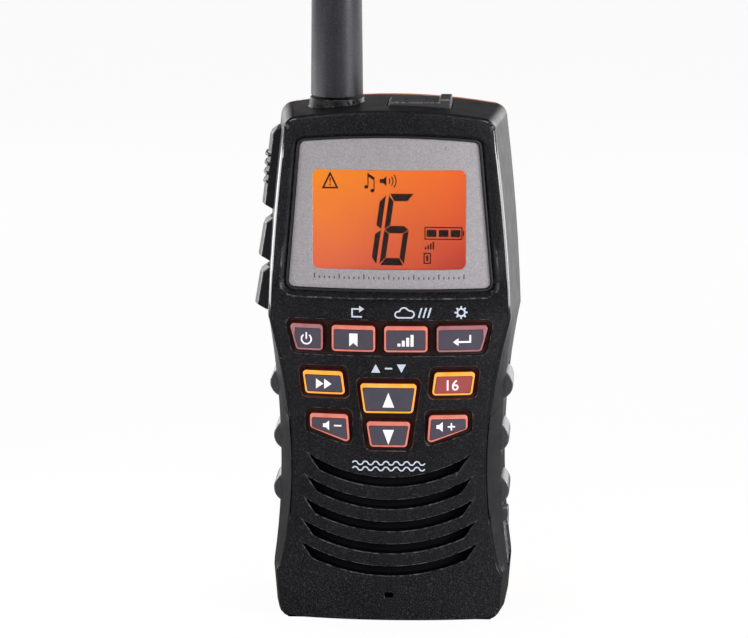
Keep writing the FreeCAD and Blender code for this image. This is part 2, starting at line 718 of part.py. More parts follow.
def key_outlines():
    """The outline of every front key, by name."""
    power_right = z.power_width - z.row_half
    memory_left = power_right + z.row_gap
    memory_right = memory_left + z.memory_width
    level_left = memory_right + z.row_gap
    level_right = level_left + z.level_width
    none = as_size(0)
    scan = [(-z.scan_outer + z.scan_taper, z.scan_bottom),
            (z.scan_lean - z.scan_inner, z.scan_bottom),
            (-z.scan_inner, z.scan_top), (-z.scan_outer, z.scan_top)]
    volume = [(-z.volume_outer, z.volume_bottom + z.volume_rise),
              (-z.volume_inner, z.volume_bottom),
              (-z.volume_inner, z.volume_top), (-z.volume_outer, z.volume_top)]
    taper = z.channel_taper
    up = [(taper - z.up_half, z.up_bottom), (z.up_half - taper, z.up_bottom),
          (z.up_half, z.up_top), (-z.up_half, z.up_top)]
    down = [(taper - z.down_half, z.down_bottom), (z.down_half - taper, z.down_bottom),
            (z.down_half, z.down_top), (-z.down_half, z.down_top)]
    return {
        "power_key": row_key(-z.row_half, power_right, z.row_taper, none),
        "memory_key": row_key(memory_left, memory_right, none, none),
        "level_key": row_key(level_left, level_right, none, none),
        "enter_key": row_key(level_right + z.row_gap, z.row_half, none, z.row_taper),
        "scan_key": scan,
        "priority_key": flip(scan),
        "channel_up_key": up,
        "channel_down_key": down,
        "volume_down_key": volume,
        "volume_up_key": flip(volume),
    }


KEYS = key_outlines()


def middle(path):
    """The middle of a four-cornered path."""
    return (sum((a for a, b in path), as_size(0)) / 4,
            sum((b for a, b in path), as_size(0)) / 4)


def pocket_outlines():
    """The pockets of the front face: one for the row, one for the channel keys, four small."""
    margin = z.pocket_margin
    row = row_key(-z.row_half, z.row_half, z.row_taper, z.row_taper)
    channel = KEYS["channel_down_key"][:2] + KEYS["channel_up_key"][2:]
    paths = [grow(row, margin), grow(channel, margin)]
    for name in ("scan_key", "priority_key", "volume_down_key", "volume_up_key"):
        paths.append(grow(KEYS[name], margin))
    return paths


def front_key(name):
    """A key cap whose flange rests behind the front wall, with a stem towards its dome."""
    path = KEYS[name]
    inside = z.front_wall + z.seat_gap
    front, rear = -z.front_depth - z.key_proud - 1, -z.board_depth
    cap = rounded(name + "_cap", front, rear, path, z.key_corner)
    plate = rounded(name + "_plate", front, rear, grow(path, z.key_flange), z.key_corner)
    flange = meet(name + "_flange", plate, crown(name + "_wall", inside))
    body = crowned(name + "_body", join(name + "_blank", cap, flange),
                   -z.key_proud, inside + z.key_flange)
    stem_end = -z.board_depth - z.dome_height - z.key_travel - z.fit_gap
    stem = rod(name + "_stem", "y", middle(path), z.stem_radius,
               z.front_wall - z.front_depth, stem_end)
    keep(join(name + "_whole", body, stem), name)


# ---- front shell --------------------------------------------------------------------

SLOT_COUNT = int(z.slot_count.number)


def slot_path(index):
    """One louvre: two arcs between tips that rise at both sides."""
    half = z.slot_half + z.slot_widening * index
    high = z.slot_first - z.slot_pitch * index
    tip = high + z.slot_rise
    low_half, low_tip = half - z.slot_end, tip - z.slot_end_drop
    return [(-half, tip), (-low_half, low_tip), (0, high - z.slot_height, low_half, low_tip),
            (half, tip), (0, high, -half, tip)]


def slot(index):
    """The cut of one louvre through the front wall."""
    path = slot_path(index)
    closing = path.pop()
    path[0] = closing[:2] + path[0]
    return prism(f"slot_{index}", "xz", -z.front_depth - 1, -z.scoop_depth, path)


def case_screw_spots():
    """The four case screws, seen from the front."""
    return [(x, height) for x in (-z.case_screw_x, z.case_screw_x)
            for height in (z.case_screw_bottom, z.case_screw_top)]


def board_screw_spots():
    """The four board screws, seen from the front."""
    return [(-z.board_screw_high_x, z.board_screw_high), (z.board_screw_high_x, z.board_screw_high),
            (-z.board_screw_low_x, z.board_screw_low), (z.board_screw_low_x, z.board_screw_low)]


def side_openings():
    """Openings of the left wall for the three side keys."""
    gap = z.run_gap
    low, high = -z.side_key_depth - z.side_key_half - gap, -z.side_key_depth + z.side_key_half + gap
    return [box(f"side_opening_{index}", (-FAR, -z.front_shoulder_half + 9), (low, high),
                (bottom - gap, top + gap))
            for index, (bottom, top, _) in enumerate(side_key_levels())]


def side_key_levels():
    """Bottom, top and flange top of the talk key and the two keys under it."""
    flange = z.side_flange
    return [
        (z.talk_bottom, z.talk_top, z.talk_top - z.corner_radius),
        (z.upper_key_bottom, z.upper_key_top, z.upper_key_top + flange),
        (z.lower_key_bottom, z.lower_key_top, z.lower_key_top + flange),
    ]


def rib_levels():
    """Middle heights of the grip inserts."""
    return [z.rib_first - z.rib_pitch * index for index in range(3)]


def rib_rear():
    """Rear end of the grip inserts, clear of the case gasket."""
    return z.parting_depth - z.gasket_height - z.glue_gap


def rib_inner(height):
    """Where the inner face of a grip insert lies in the wall."""
    return wall_half(height, 0) - z.rib_inset


def charge_spots():
    """Outer face of the charging jack cover: X at its bottom and at its top."""
    share = (z.scoop_depth - z.charge_depth) / (z.scoop_depth + z.parting_depth)
    low, high = z.charge_height - z.charge_cover_half, z.charge_height + z.charge_cover_half
    return wall_half(z.flare_height, share), wall_half(high, share), low, high


def charge_recess():
    """The recess of the right wall for the charging jack cover."""
    x_low, x_high, low, high = charge_spots()
    gap, deep = z.run_gap, z.charge_cover_thickness + z.glue_gap
    top = high + z.charge_tab_height + gap
    width = z.charge_cover_width + gap
    path = [(x_low - deep, low), (x_low - deep, low - gap), (FAR, low - gap), (FAR, top),
            (x_high - deep, top), (x_high - deep, high)]
    return prism("charge_recess", "xz", -z.charge_depth - width, -z.charge_depth + width, path)


def ring(name, line, outer, inner, low, high):
    """A band that follows the case outline between two insets."""
    return cut(name, prism(name + "_outside", "xz", low, high, case_path(line, outer, outer)),
               prism(name + "_inside", "xz", low - 1, high + 1, case_path(line, inner, inner)))


def gasket_band(name, gap):
    """The case gasket, or its groove with a gap on each side."""
    start = (z.wall - z.gasket_width) / 2
    return ring(name, SIDE_LINE, start - gap, start + z.gasket_width + gap,
                z.parting_depth - z.gasket_height, z.parting_depth)


def front_shell():
    loft = case_loft("front_loft", front_levels(as_size(0), -z.base_trim))
    outer = meet("front_outer", flat_base("front_based", loft),
                 crown("front_crown", as_size(0)))
    hollow = meet("front_hollow", case_loft("front_hollow_loft", front_levels(z.wall, z.wall)),
                  crown("front_hollow_crown", z.front_wall))
    posts = [rod(f"case_boss_{i}", "y", spot, z.boss_radius, -z.front_edge_depth, z.parting_depth)
             for i, spot in enumerate(case_screw_spots())]
    posts += [rod(f"board_boss_{i}", "y", spot, z.board_boss_radius, -z.front_edge_depth,
                  -z.board_depth) for i, spot in enumerate(board_screw_spots())]
    walled = join("front_walled", cut("front_hollowed", outer, hollow),
                  meet("front_posts", join("front_post_set", *posts), outer))
    collar = cone("collar", (z.antenna_x, z.antenna_y), z.collar_base_radius,
                  z.collar_top_radius, z.collar_bottom, z.collar_top)
    solid = join("front_solid", walled, collar)

    under_lens = z.panel_depth + z.panel_thickness + z.lens_thickness
    margin = z.display_margin
    front, rear = -z.front_depth - 2, -z.board_depth - 1
    tools = [
        cut("panel_recess", rounded("panel_hole", front, rear, panel_path(z.panel_rim),
                                    z.panel_corner + z.panel_rim),
            crown("panel_floor", under_lens)),
        box("display_hole", (-z.window_half - margin, z.window_half + margin), (front, rear),
            (z.window_bottom - margin, z.window_top + margin)),
        box("mic_hole", (-z.mic_hole_width / 2, z.mic_hole_width / 2), (front, rear),
            (z.mic_height - z.mic_hole_height / 2, z.mic_height + z.mic_hole_height / 2)),
        gasket_band("front_groove", z.fit_gap),
        charge_recess(),
        jack_recess(),
        rod("bushing_hole", "z", (z.antenna_x, z.antenna_y), z.bushing_radius + z.fit_gap,
            z.collar_bottom - z.bushing_length, z.collar_top + 1),
        rod("charge_hole", "x", (-z.charge_depth, z.charge_height),
            z.charge_radius + z.fit_gap, z.front_waist_half - 5, FAR),
    ]
    for index, path in enumerate(pocket_outlines()):
        blank = rounded(f"pocket_{index}", front, rear, path, z.pocket_corner)
        tools.append(cut(f"pocket_cut_{index}", blank, crown(f"pocket_floor_{index}",
                                                             z.pocket_depth)))
    for name, path in KEYS.items():
        tools.append(rounded(name + "_hole", front, rear, grow(path, z.run_gap),
                             z.key_corner + z.run_gap))
    tools += [slot(index) for index in range(SLOT_COUNT)]
    tools += side_openings()
    for index, height in enumerate(rib_levels()):
        reach = z.rib_length / 2
        right = box(f"rib_slot_{index}", (rib_inner(height), FAR), (-z.rib_front, rib_rear()),
                    (height - reach, height + reach))
        tools += [right, mirrored(f"rib_slot_left_{index}", right)]
    for index, spot in enumerate(case_screw_spots()):
        tools.append(rod(f"case_hole_{index}", "y", spot, z.screw_radius + z.fit_gap,
                         -z.screw_reach - z.glue_gap, z.parting_depth + 1))
    for index, spot in enumerate(board_screw_spots()):
        tools.append(rod(f"board_hole_{index}", "y", spot, z.board_screw_radius + z.fit_gap,
                         -z.board_depth - z.board_screw_length, -z.board_depth + 1))
    for index, (x, bore) in enumerate(jack_spots()):
        tools.append(rod(f"jack_hole_{index}", "z", (x, -z.jack_depth),
                         z.jack_radius + z.fit_gap, z.jack_cover_bottom - 5,
                         z.jack_cover_bottom + 1))
    keep(cut("front_case", solid, *tools), "front_shell")


def case_gasket():
    keep(gasket_band("gasket", as_size(0)), "case_gasket")


# ---- display ------------------------------------------------------------------------

def window_box(name, margin, low, high):
    """A rounded block over the display window."""
    path = corners(-z.window_half - margin, z.window_half + margin,
                   z.window_bottom - margin, z.window_top + margin)
    return rounded(name, low, high, path, z.window_corner)


def display():
    front, rear = -z.front_depth - 2, -z.board_depth
    none = as_size(0)
    panel_back = z.panel_depth + z.panel_thickness
    lens_back = panel_back + z.lens_thickness
    blank = rounded("panel_blank", front, rear, panel_path(none), z.panel_corner)
    layer = crowned("panel_layer", blank, z.panel_depth, panel_back)
    keep(cut("panel", layer, window_box("panel_window", z.fit_gap, front, rear)), "silver_panel")

    sheet_blank = rounded("lens_blank", front, rear, panel_path(none), z.panel_corner)
    lens_sheet = crowned("lens_sheet", sheet_blank, panel_back, lens_back)
    raised = crowned("lens_raised", window_box("lens_window", none, front, rear),
                     z.panel_depth, lens_back)
    keep(join("lens", lens_sheet, raised), "window_lens")

    rim_outer = rounded("seal_outer", front, rear, panel_path(z.panel_rim - z.fit_gap),
                        z.panel_corner + z.panel_rim)
    rim_inner = rounded("seal_inner", front - 1, rear + 1, panel_path(z.glue_gap),
                        z.panel_corner)
    bead = crowned("seal_layer", rim_outer, z.panel_depth / 2, lens_back)
    keep(cut("seal", bead, rim_inner), "lens_seal")

    half = z.window_half + z.display_margin - z.glue_gap
    low = z.window_bottom - z.display_margin + z.glue_gap
    high = z.window_top + z.display_margin - z.glue_gap
    glass_front = crown_y(z.window_half + z.display_margin, lens_back) + z.glass_gap
    glass_back = glass_front + z.glass_thickness
    diffuser_back = glass_back + z.diffuser_thickness
    keep(box("glass", (-half, half), (glass_front, glass_back), (low, high)), "lcd_glass")
    keep(box("diffuser", (-half, half), (glass_back, diffuser_back), (low, high)),
         "backlight_diffuser")
    wall = z.holder_wall
    gap = z.fit_gap
    outside = box("holder_outside", (-half - wall, half + wall), (glass_back, -z.board_depth),
                  (low - wall, high + wall))
    inside = box("holder_inside", (-half - gap, half + gap), (glass_back - 1, diffuser_back),
                 (low - gap, high + gap))
    keep(cut("holder", outside, inside), "lcd_holder")


# ---- boards and keys ----------------------------------------------------------------

def main_board():
    path = [(-z.board_bottom_half, z.board_bottom), (z.board_bottom_half, z.board_bottom),
            (z.board_shoulder_half, z.shoulder_height),
            (z.board_top_half, z.board_top), (-z.board_top_half, z.board_top),
            (-z.board_shoulder_half, z.shoulder_height)]
    back = z.board_thickness - z.board_depth
    blank = prism("board_blank", "xz", -z.board_depth, back, path)
    holes = [rod(f"board_bore_{i}", "y", spot, z.board_screw_radius + z.fit_gap,
                 -z.board_depth - 1, back + 1) for i, spot in enumerate(board_screw_spots())]
    keep(cut("board", blank, *holes), "main_board")

    screws = []
    for index, spot in enumerate(board_screw_spots()):
        shank = rod(f"board_shank_{index}", "y", spot, z.board_screw_radius,
                    -z.board_depth - z.board_screw_length + z.glue_gap, back)
        head = rod(f"board_head_{index}", "y", spot, z.board_screw_radius * 1.8,
                   back, back + z.board_screw_radius)
        screws.append(join(f"board_screw_{index}", shank, head))
    keep(group("board_screw_set", *screws), "board_screws")


def key_mat():
    boss = z.board_boss_radius
    side, step = z.board_screw_low_x + boss, z.board_screw_low + 3 * boss
    low, low_side = z.board_bottom + 1, z.board_screw_low_x - boss * 2.3
    path = [(-low_side, low), (low_side, low), (side, step),
            (z.row_half, z.row_top + 2), (-z.row_half, z.row_top + 2), (-side, step)]
    front = -z.board_depth - z.mat_thickness
    blank = prism("mat_blank", "xz", front, -z.board_depth, path)
    holes = [rod(name + "_mat_hole", "y", middle(outline_path), z.dome_radius + z.run_gap,
                 front - 1, -z.board_depth + 1) for name, outline_path in KEYS.items()]
    keep(cut("mat", blank, *holes), "key_mat")
    domes = [rod(name + "_dome", "y", middle(outline_path), z.dome_radius,
                 -z.board_depth - z.dome_height, -z.board_depth)
             for name, outline_path in KEYS.items()]
    keep(group("dome_set", *domes), "key_domes")


def shield_can():
    back = z.board_thickness - z.board_depth
    thin = z.sheet_thickness
    outside = box("shield_outside", (-z.shield_half, z.shield_half), (back, back + z.shield_height),
                  (z.shield_bottom, z.shield_top))
    inside = box("shield_inside", (-z.shield_half + thin, z.shield_half - thin),
                 (back - 1, back + z.shield_height - thin),
                 (z.shield_bottom + thin, z.shield_top - thin))
    keep(cut("shield", outside, inside), "shield_can")


def foam_float():
    keep(box("float", (-z.float_half, z.float_half), (z.float_front, z.float_rear),
             (z.float_bottom, z.float_top)), "foam_float")


# ---- sound --------------------------------------------------------------------------

def speaker():
    axis = (as_size(0), z.speaker_height)
    front = -z.speaker_depth
    rear = front + z.speaker_frame_length
    cup = cut("speaker_cup", rod("speaker_drum", "y", axis, z.speaker_radius, front, rear),
              rod("speaker_bowl", "y", axis, z.speaker_radius - z.holder_wall, front - 1,
                  rear - z.holder_wall))
    keep(cup, "speaker_frame")
    cone_front = front + z.holder_wall
    keep(rod("cone_disc", "y", axis, z.speaker_radius - z.holder_wall - z.fit_gap,
             cone_front, cone_front + z.holder_wall), "speaker_cone")
    keep(rod("magnet", "y", axis, z.magnet_radius, rear, rear + z.magnet_length),
         "speaker_magnet")
    seat = crown_y(z.speaker_radius, z.front_wall + 2 * z.glue_gap + z.sheet_thickness)
    keep(tube("speaker_ring", "y", axis, z.speaker_radius,
              z.speaker_radius - 2 * z.holder_wall, seat, front), "speaker_seal")

    low = z.slot_first - z.slot_pitch * (SLOT_COUNT - 1) - z.slot_height - z.gasket_width
    high = z.slot_first + z.slot_rise + z.gasket_width
    patch = meet("membrane_patch",
                 prism("membrane_blank", "xz", -z.front_depth, -z.scoop_depth,
                       case_path(FRONT_LINE, z.wall + z.seat_gap, z.wall)),
                 box("membrane_band", (-FAR, FAR), (-z.front_depth, -z.scoop_depth),
                     (low, high)))
    keep(crowned("membrane", patch, z.front_wall + z.glue_gap,
                 z.front_wall + z.glue_gap + z.sheet_thickness), "speaker_membrane")


def microphone():
    axis = (as_size(0), z.mic_height)
    start = crown_y(z.mic_radius + z.boot_wall, z.front_wall + z.fit_gap)
    front = start + z.boot_wall
    rear = front + z.mic_length
    keep(rod("capsule", "y", axis, z.mic_radius, front, rear), "microphone")
    boot = cut("boot_cup", rod("boot", "y", axis, z.mic_radius + z.boot_wall, start, rear),
               rod("boot_seat", "y", axis, z.mic_radius + z.fit_gap, front, rear + 1),
               rod("boot_hole", "y", axis, z.mic_hole_height / 2, start - 1, rear))
    keep(boot, "microphone_boot")


# ---- side keys ----------------------------------------------------------------------

def side_key(label, bottom, top, flange_top, extras):
    """A rocker-shaped side key with a flange behind the left wall."""
    share = (z.scoop_depth - z.side_key_depth) / (z.scoop_depth + z.parting_depth)
    high, low = wall_half(top, share), wall_half(bottom, share)
    deep = z.wall + z.seat_gap + z.side_flange * 2
    proud, chamfer = z.side_key_proud, z.side_key_chamfer
    cap = [(deep - wall_half(top, 0), top), (-high - proud / 3, top),
           (-high - proud, top - chamfer),
           (-low - proud - z.side_key_lean, bottom + chamfer),
           (-low - proud / 3, bottom), (deep - wall_half(bottom, 0), bottom)]
    front, rear = -z.side_key_depth - z.side_key_half, -z.side_key_depth + z.side_key_half
    flange = z.side_flange
    seat = z.wall + z.seat_gap
    foot = bottom - flange
    ledge = [(deep - wall_half(flange_top, 0), flange_top),
             (seat - wall_half(flange_top, 0), flange_top),
             (seat - wall_half(foot, 0), foot), (deep - wall_half(foot, 0), foot)]
    body = join(label + "_whole", prism(label + "_cap", "xz", front, rear, cap),
                prism(label + "_ledge", "xz", front - flange, rear + flange, ledge), *extras)
    keep(body, label)


def talk_ribs():
    """Four raised bars across the talk key."""
    bars = []
    share = (z.scoop_depth - z.side_key_depth) / (z.scoop_depth + z.parting_depth)
    for index in range(4):
        height = z.talk_bottom + (z.talk_top - z.talk_bottom) * (0.34 + 0.11 * index)
        face = wall_half(height, share) + z.side_key_proud
        bars.append(box(f"talk_rib_{index}", (-face - z.talk_rib * 2, -face + 1),
                        (-z.side_key_depth - z.side_key_half, -z.side_key_depth + z.side_key_half),
                        (height - z.talk_rib, height + z.talk_rib)))
    return bars


def side_keys():
    levels = side_key_levels()
    side_key("talk_key", *levels[0], talk_ribs())
    side_key("upper_side_key", *levels[1], [])
    side_key("lower_side_key", *levels[2], [])

    board_x = z.board_top_half - z.switch_size
    low, high = z.board_thickness - z.board_depth, z.switch_size - z.side_key_depth
    keep(box("side_strip", (-board_x, z.switch_board_thickness - board_x), (low, high),
             (z.lower_key_bottom + z.switch_board_margin,
              z.board_top - z.switch_board_margin)), "side_board")
    switches = []
    for index, (bottom, top, _) in enumerate(levels):
        height = (bottom + top) / 2
        face = wall_half(height, 0) - z.wall - z.seat_gap - z.side_flange * 2
        tip = face - z.side_key_travel - z.seat_gap
        half = z.switch_size / 2
        body = box(f"switch_body_{index}", (-board_x - 1.2, -board_x),
                   (-z.side_key_depth - half, -z.side_key_depth + half),
                   (height - half, height + half))
        plunger = rod(f"switch_plunger_{index}", "x", (-z.side_key_depth, height),
                      z.switch_size / 4, -tip, -board_x - 1)
        switches.append(join(f"switch_{index}", body, plunger))
    keep(group("switch_set", *switches), "side_switches")


# ---- grip inserts -------------------------------------------------------------------

def grip_inserts():
    """Three bulged inserts let into each side wall."""
    items = []
    for index, height in enumerate(rib_levels()):
        inner = rib_inner(height)
        half = z.rib_length / 2
        peak = (wall_half(height, 1) + z.rib_proud, height + half / 4)
        path = [(inner, height + half), (inner, height - half)]
        path[0] = peak + path[0]
        right = prism(f"insert_{index}", "xz", -z.rib_front, rib_rear(), path)
        items += [right, mirrored(f"insert_left_{index}", right)]
    keep(group("insert_set", *items), "grip_inserts")


# ---- jacks and their covers ---------------------------------------------------------

def jack_spots():
    """X and bore radius of the two jacks in the top."""
    return [(z.small_jack_x, z.small_jack_bore),
            (z.small_jack_x + z.jack_spacing, z.large_jack_bore)]


def jack_recess():
    """The recess of the top for the rubber jack cover."""
    gap = z.run_gap
    return box("jack_recess", (z.jack_cover_left - gap, z.jack_tab_right + gap),
               (-z.jack_cover_front - gap, -z.jack_cover_rear + gap),
               (z.jack_cover_bottom - z.glue_gap, z.body_height + 10))


def jack_cover():
    radius = (z.jack_cover_top - z.jack_cover_bottom) / 2
    left, low, high = z.jack_cover_left, z.jack_cover_bottom, z.jack_cover_top
    tab = high + z.jack_tab_rise
    path = [(left, low + radius, left + radius, low), (z.jack_tab_right, low),
            (z.jack_tab_right, tab), (z.jack_cover_right, tab), (z.jack_cover_right, high),
            (left + radius, high)]
    keep(prism("top_cover", "xz", -z.jack_cover_front, -z.jack_cover_rear, path), "jack_cover")


def jacks():
    top = z.jack_cover_bottom - z.glue_gap
    for label, (x, bore) in zip(("microphone_jack", "speaker_jack"), jack_spots()):
        axis = (x, -z.jack_depth)
        barrel = rod(label + "_barrel", "z", axis, z.jack_radius, top - z.jack_length, top)
        hole = rod(label + "_bore", "z", axis, bore, top - z.jack_length + z.jack_floor, top + 1)
        keep(cut(label + "_body", barrel, hole), label)


def charge_parts():
    x_low, x_high, low, high = charge_spots()
    thick = z.charge_cover_thickness
    radius = thick / 2
    path = [(x_low - thick, low + radius), (x_low - radius, low, x_low, low + radius),
            (x_high, high), (x_high - thick, high)]
    width = z.charge_cover_width
    plate = prism("charge_plate", "xz", -z.charge_depth - width, -z.charge_depth + width, path)
    tab = box("charge_tab", (x_high - thick, x_high + z.charge_tab_proud),
              (-z.charge_depth - width / 2, -z.charge_depth + width / 2),
              (high - 1, high + z.charge_tab_height))
    keep(join("charge_cover_whole", plate, tab), "charge_cover")

    axis = (-z.charge_depth, z.charge_height)
    mouth = (x_low + x_high) / 2 - thick - z.glue_gap * 4
    barrel = rod("charge_barrel", "x", axis, z.charge_radius, mouth - z.charge_length, mouth)
    hole = rod("charge_bore", "x", axis, z.charge_bore, mouth - z.charge_length + 1, mouth + 1)
    pin = rod("charge_pin", "x", axis, z.charge_pin, mouth - z.charge_length, mouth - 1)
    keep(join("charge_whole", cut("charge_shell", barrel, hole), pin), "charge_jack")


# ---- antenna ------------------------------------------------------------------------

def antenna():
    axis = (z.antenna_x, z.antenna_y)
    low = z.collar_top + z.antenna_gap
    high = low + z.antenna_length
    stud_low = z.collar_top - z.bushing_length + 1
    stud_high = stud_low + z.stud_length
    rod_high = high - z.antenna_tip_radius * 2
    gap = z.fit_gap
    keep(antenna_sheath(low, stud_high, rod_high, high), "antenna_sheath")
    keep(rod("stud", "z", axis, z.stud_radius, stud_low, stud_high), "antenna_stud")
    keep(rod("radiator", "z", axis, z.radiator_radius, stud_high, rod_high - gap),
         "antenna_radiator")
    keep(tube("bushing", "z", axis, z.bushing_radius, z.stud_radius + gap,
              z.collar_top - z.bushing_length, z.collar_top - z.glue_gap), "antenna_bushing")


def antenna_sheath(low, stud_high, rod_high, high):
    """A tapered rod with a rounded tip and a stepped bore, turned about its axis."""
    body = doc.addObject("PartDesign::Body", "sheath")
    place(body, z.antenna_x, z.antenna_y, as_size(0))
    sketch = body.newObject("Sketcher::SketchObject", "sheath_profile")
    sketch.AttachmentSupport = [(origin_plane(body, "XZ_Plane"), "")]
    sketch.MapMode = "FlatFace"
    gap = z.fit_gap
    tip = z.antenna_tip_radius
    stud, wire = z.stud_radius + gap, z.radiator_radius + gap
    path = [(stud, low), (z.antenna_base_radius, low), (tip, high - tip),
            (tip * HALF_TURN_ROOT, high - tip * (1 - HALF_TURN_ROOT), 0, high),
            (0, rod_high), (wire, rod_high), (wire, stud_high + gap), (stud, stud_high + gap)]
    close_path(sketch, path)
    turned = body.newObject("PartDesign::Revolution", "sheath_turned")
    turned.Profile = sketch
    turned.ReferenceAxis = (sketch, ["V_Axis"])
    turned.Angle = 360
    body.Tip = turned
    return body


# ---- rear shell ---------------------------------------------------------------------

def rear_levels(inset, floor):
    """The levels of the rear shell, outside or inset for its hollow."""
    step, last = z.rear_step_inset + inset, z.rear_inset + inset
    deep = z.rear_depth - inset
    return [
        (z.parting_depth, SIDE_LINE, inset, floor),
        (z.rear_step_depth, SIDE_LINE, step, floor),
        (deep, SIDE_LINE, last, floor + z.rear_inset / 2),
    ]


def head_relief(name, inset):
    """Everything behind the thinner head, moved forwards by an inset."""
    head, rear = z.head_rear_depth - inset, z.rear_depth - inset
    far = z.rear_depth + FAR
    top = z.body_height + FAR
    path = [(head, z.slope_high), (rear, z.slope_low), (far, z.slope_low), (far, top),
            (head, top)]
    return prism(name, "yz", -FAR, FAR, path)


def tray_half():
    """Half width of the battery tray outside."""
    return z.cell_pitch * z.cell_count / 2 + z.glue_gap * 2 + z.tray_wall


def tray_top():
    """Top of the battery tray outside."""
    return z.tray_bottom + z.tray_wall * 2 + z.cell_length + z.contact_room * 2


def tray_front():
    """Front face of the battery tray outside."""
    return z.tray_rear + z.glue_gap * 3 - z.cell_radius * 2 - z.tray_wall - z.glue_gap


def barrel_spot():
    """Y and Z of the hinge pin of the battery door."""
    return (z.rear_depth - z.barrel_radius, z.barrel_height)


def lug_span(side):
    """X of one lug of the door hinge, inner and outer face."""
    inner, outer = z.barrel_half + z.run_gap, z.door_pin_half
    return (inner, outer) if side > 0 else (-outer, -inner)


def rear_shell():
    loft = case_loft("rear_loft", rear_levels(as_size(0), -z.base_trim))
    outer = cut("rear_outer", flat_base("rear_based", loft),
                head_relief("rear_relief", as_size(0)))
    hollow = cut("rear_hollow", case_loft("rear_hollow_loft", rear_levels(z.wall, z.wall)),
                 head_relief("rear_hollow_relief", z.wall))
    adds = [rod(f"rear_boss_{i}", "y", spot, z.rear_boss_radius, z.parting_depth, z.rear_depth)
            for i, spot in enumerate(case_screw_spots())]
    barrel_y, barrel_z = barrel_spot()
    adds.append(box("hinge_block", (-z.door_half, z.door_half),
                    (barrel_y - 3 * z.barrel_radius, z.rear_depth),
                    (barrel_z - 2 * z.barrel_radius, z.tray_bottom)))
    adds.append(box("latch_block", (-2 * z.latch_half, 2 * z.latch_half),
                    (z.tray_rear - z.wall, z.rear_depth), (tray_top(), z.slope_low)))
    solid = join("rear_solid", cut("rear_hollowed", outer, hollow),
                 meet("rear_adds", join("rear_add_set", *adds), outer))
    gap = z.run_gap
    half, far = tray_half() + z.fit_gap, z.rear_depth + 5
    door_floor = z.rear_depth - z.door_thickness - z.fit_gap
    door_path = corners(-z.door_half - gap, z.door_half + gap,
                        barrel_z - z.barrel_radius - gap, z.door_top + gap)
    groove = z.barrel_radius + gap
    tools = [
        box("tray_pocket", (-half, half), (z.parting_depth - 1, far),
            (z.tray_bottom - z.fit_gap, tray_top() + z.fit_gap)),
        rounded("door_recess", door_floor, far, door_path, z.door_corner),
        box("door_foot_recess", (-z.door_half - gap, z.door_half + gap), (door_floor, far),
            (barrel_z - z.barrel_radius - gap, barrel_z + z.door_corner)),
        box("barrel_groove", (-z.barrel_half - gap, z.barrel_half + gap),
            (barrel_y - groove, far), (barrel_z - groove, z.tray_bottom)),
        box("tongue_slot", (-z.latch_half, z.latch_half),
            (z.tray_rear - z.holder_wall, door_floor + 1),
            (tray_top() - 1, z.latch_tongue_low + z.latch_tongue + z.latch_travel + gap)),
    ]
    for index, spot in enumerate(case_screw_spots()):
        tools.append(rod(f"rear_bore_{index}", "y", spot, z.screw_radius + z.fit_gap,
                         z.parting_depth - 1, far))
        tools.append(rod(f"rear_counterbore_{index}", "y", spot,
                         z.screw_head_radius + z.glue_gap, z.screw_seat, far))
    for index, x in enumerate((-z.bracket_screw_x, z.bracket_screw_x)):
        tools.append(rod(f"clip_bore_{index}", "y", (x, z.bracket_screw_height),
                         z.screw_radius + z.fit_gap, z.parting_depth, far))
    body = cut("rear_cut", solid, *tools)
    lug = z.barrel_radius - z.glue_gap
    lugs = [box(f"hinge_lug_{i}", lug_span(side), (barrel_y - 2 * lug, barrel_y + lug),
                (barrel_z - lug, barrel_z + lug)) for i, side in enumerate((-1, 1))]
    hole = rod("lug_bore", "x", barrel_spot(), z.door_pin_radius + z.fit_gap,
               -z.door_pin_half - 1, z.door_pin_half + 1)
    keep(cut("rear_case", join("rear_lugged", body, *lugs), hole), "rear_shell")


def case_screws():
    screws = []
    for index, spot in enumerate(case_screw_spots()):
        shank = rod(f"case_shank_{index}", "y", spot, z.screw_radius, -z.screw_reach, z.screw_seat)
        head = rod(f"case_head_{index}", "y", spot, z.screw_head_radius, z.screw_seat,
                   z.screw_seat + z.screw_head_height)
        screws.append(join(f"case_screw_{index}", shank, head))
    keep(group("case_screw_set", *screws), "case_screws")


# ---- battery ------------------------------------------------------------------------

def battery_tray():
    half, wall = tray_half(), z.tray_wall
    front = tray_front()
    outside = box("tray_outside", (-half, half), (front, z.tray_rear), (z.tray_bottom, tray_top()))
    inside = box("tray_inside", (wall - half, half - wall), (front + wall, z.tray_rear + 1),
                 (z.tray_bottom + wall, tray_top() - wall))
    keep(cut("tray", outside, inside), "battery_tray")


def cell_spots():
    """X of each cell."""
    count = int(z.cell_count.number)
    return [z.cell_pitch * index - z.cell_pitch * (count - 1) / 2 for index in range(count)]


def batteries():
    depth = tray_front() + z.tray_wall + z.glue_gap + z.cell_radius
    low = z.tray_bottom + z.tray_wall + z.contact_room
    high = low + z.cell_length
    floor, roof = z.tray_bottom + z.tray_wall, tray_top() - z.tray_wall
    thin = z.sheet_thickness
    cells, springs, plates = [], [], []
    for index, x in enumerate(cell_spots()):
        can = rod(f"cell_can_{index}", "z", (x, depth), z.cell_radius, low, high)
        cap = rod(f"cell_cap_{index}", "z", (x, depth), z.cell_radius / 2, high - 1, roof - thin)
        cells.append(join(f"cell_{index}", can, cap))
        springs.append(cone(f"spring_{index}", (x, depth), z.cell_radius * 0.7,
                            z.cell_radius * 0.4, floor, low))
        plates.append(box(f"plate_{index}", (x - z.cell_radius * 0.7, x + z.cell_radius * 0.7),
                          (depth - z.cell_radius * 0.7, depth + z.cell_radius * 0.7),
                          (roof - thin, roof)))
    keep(group("cell_set", *cells), "battery_cells")
    keep(group("contact_set", *springs, *plates), "battery_contacts")


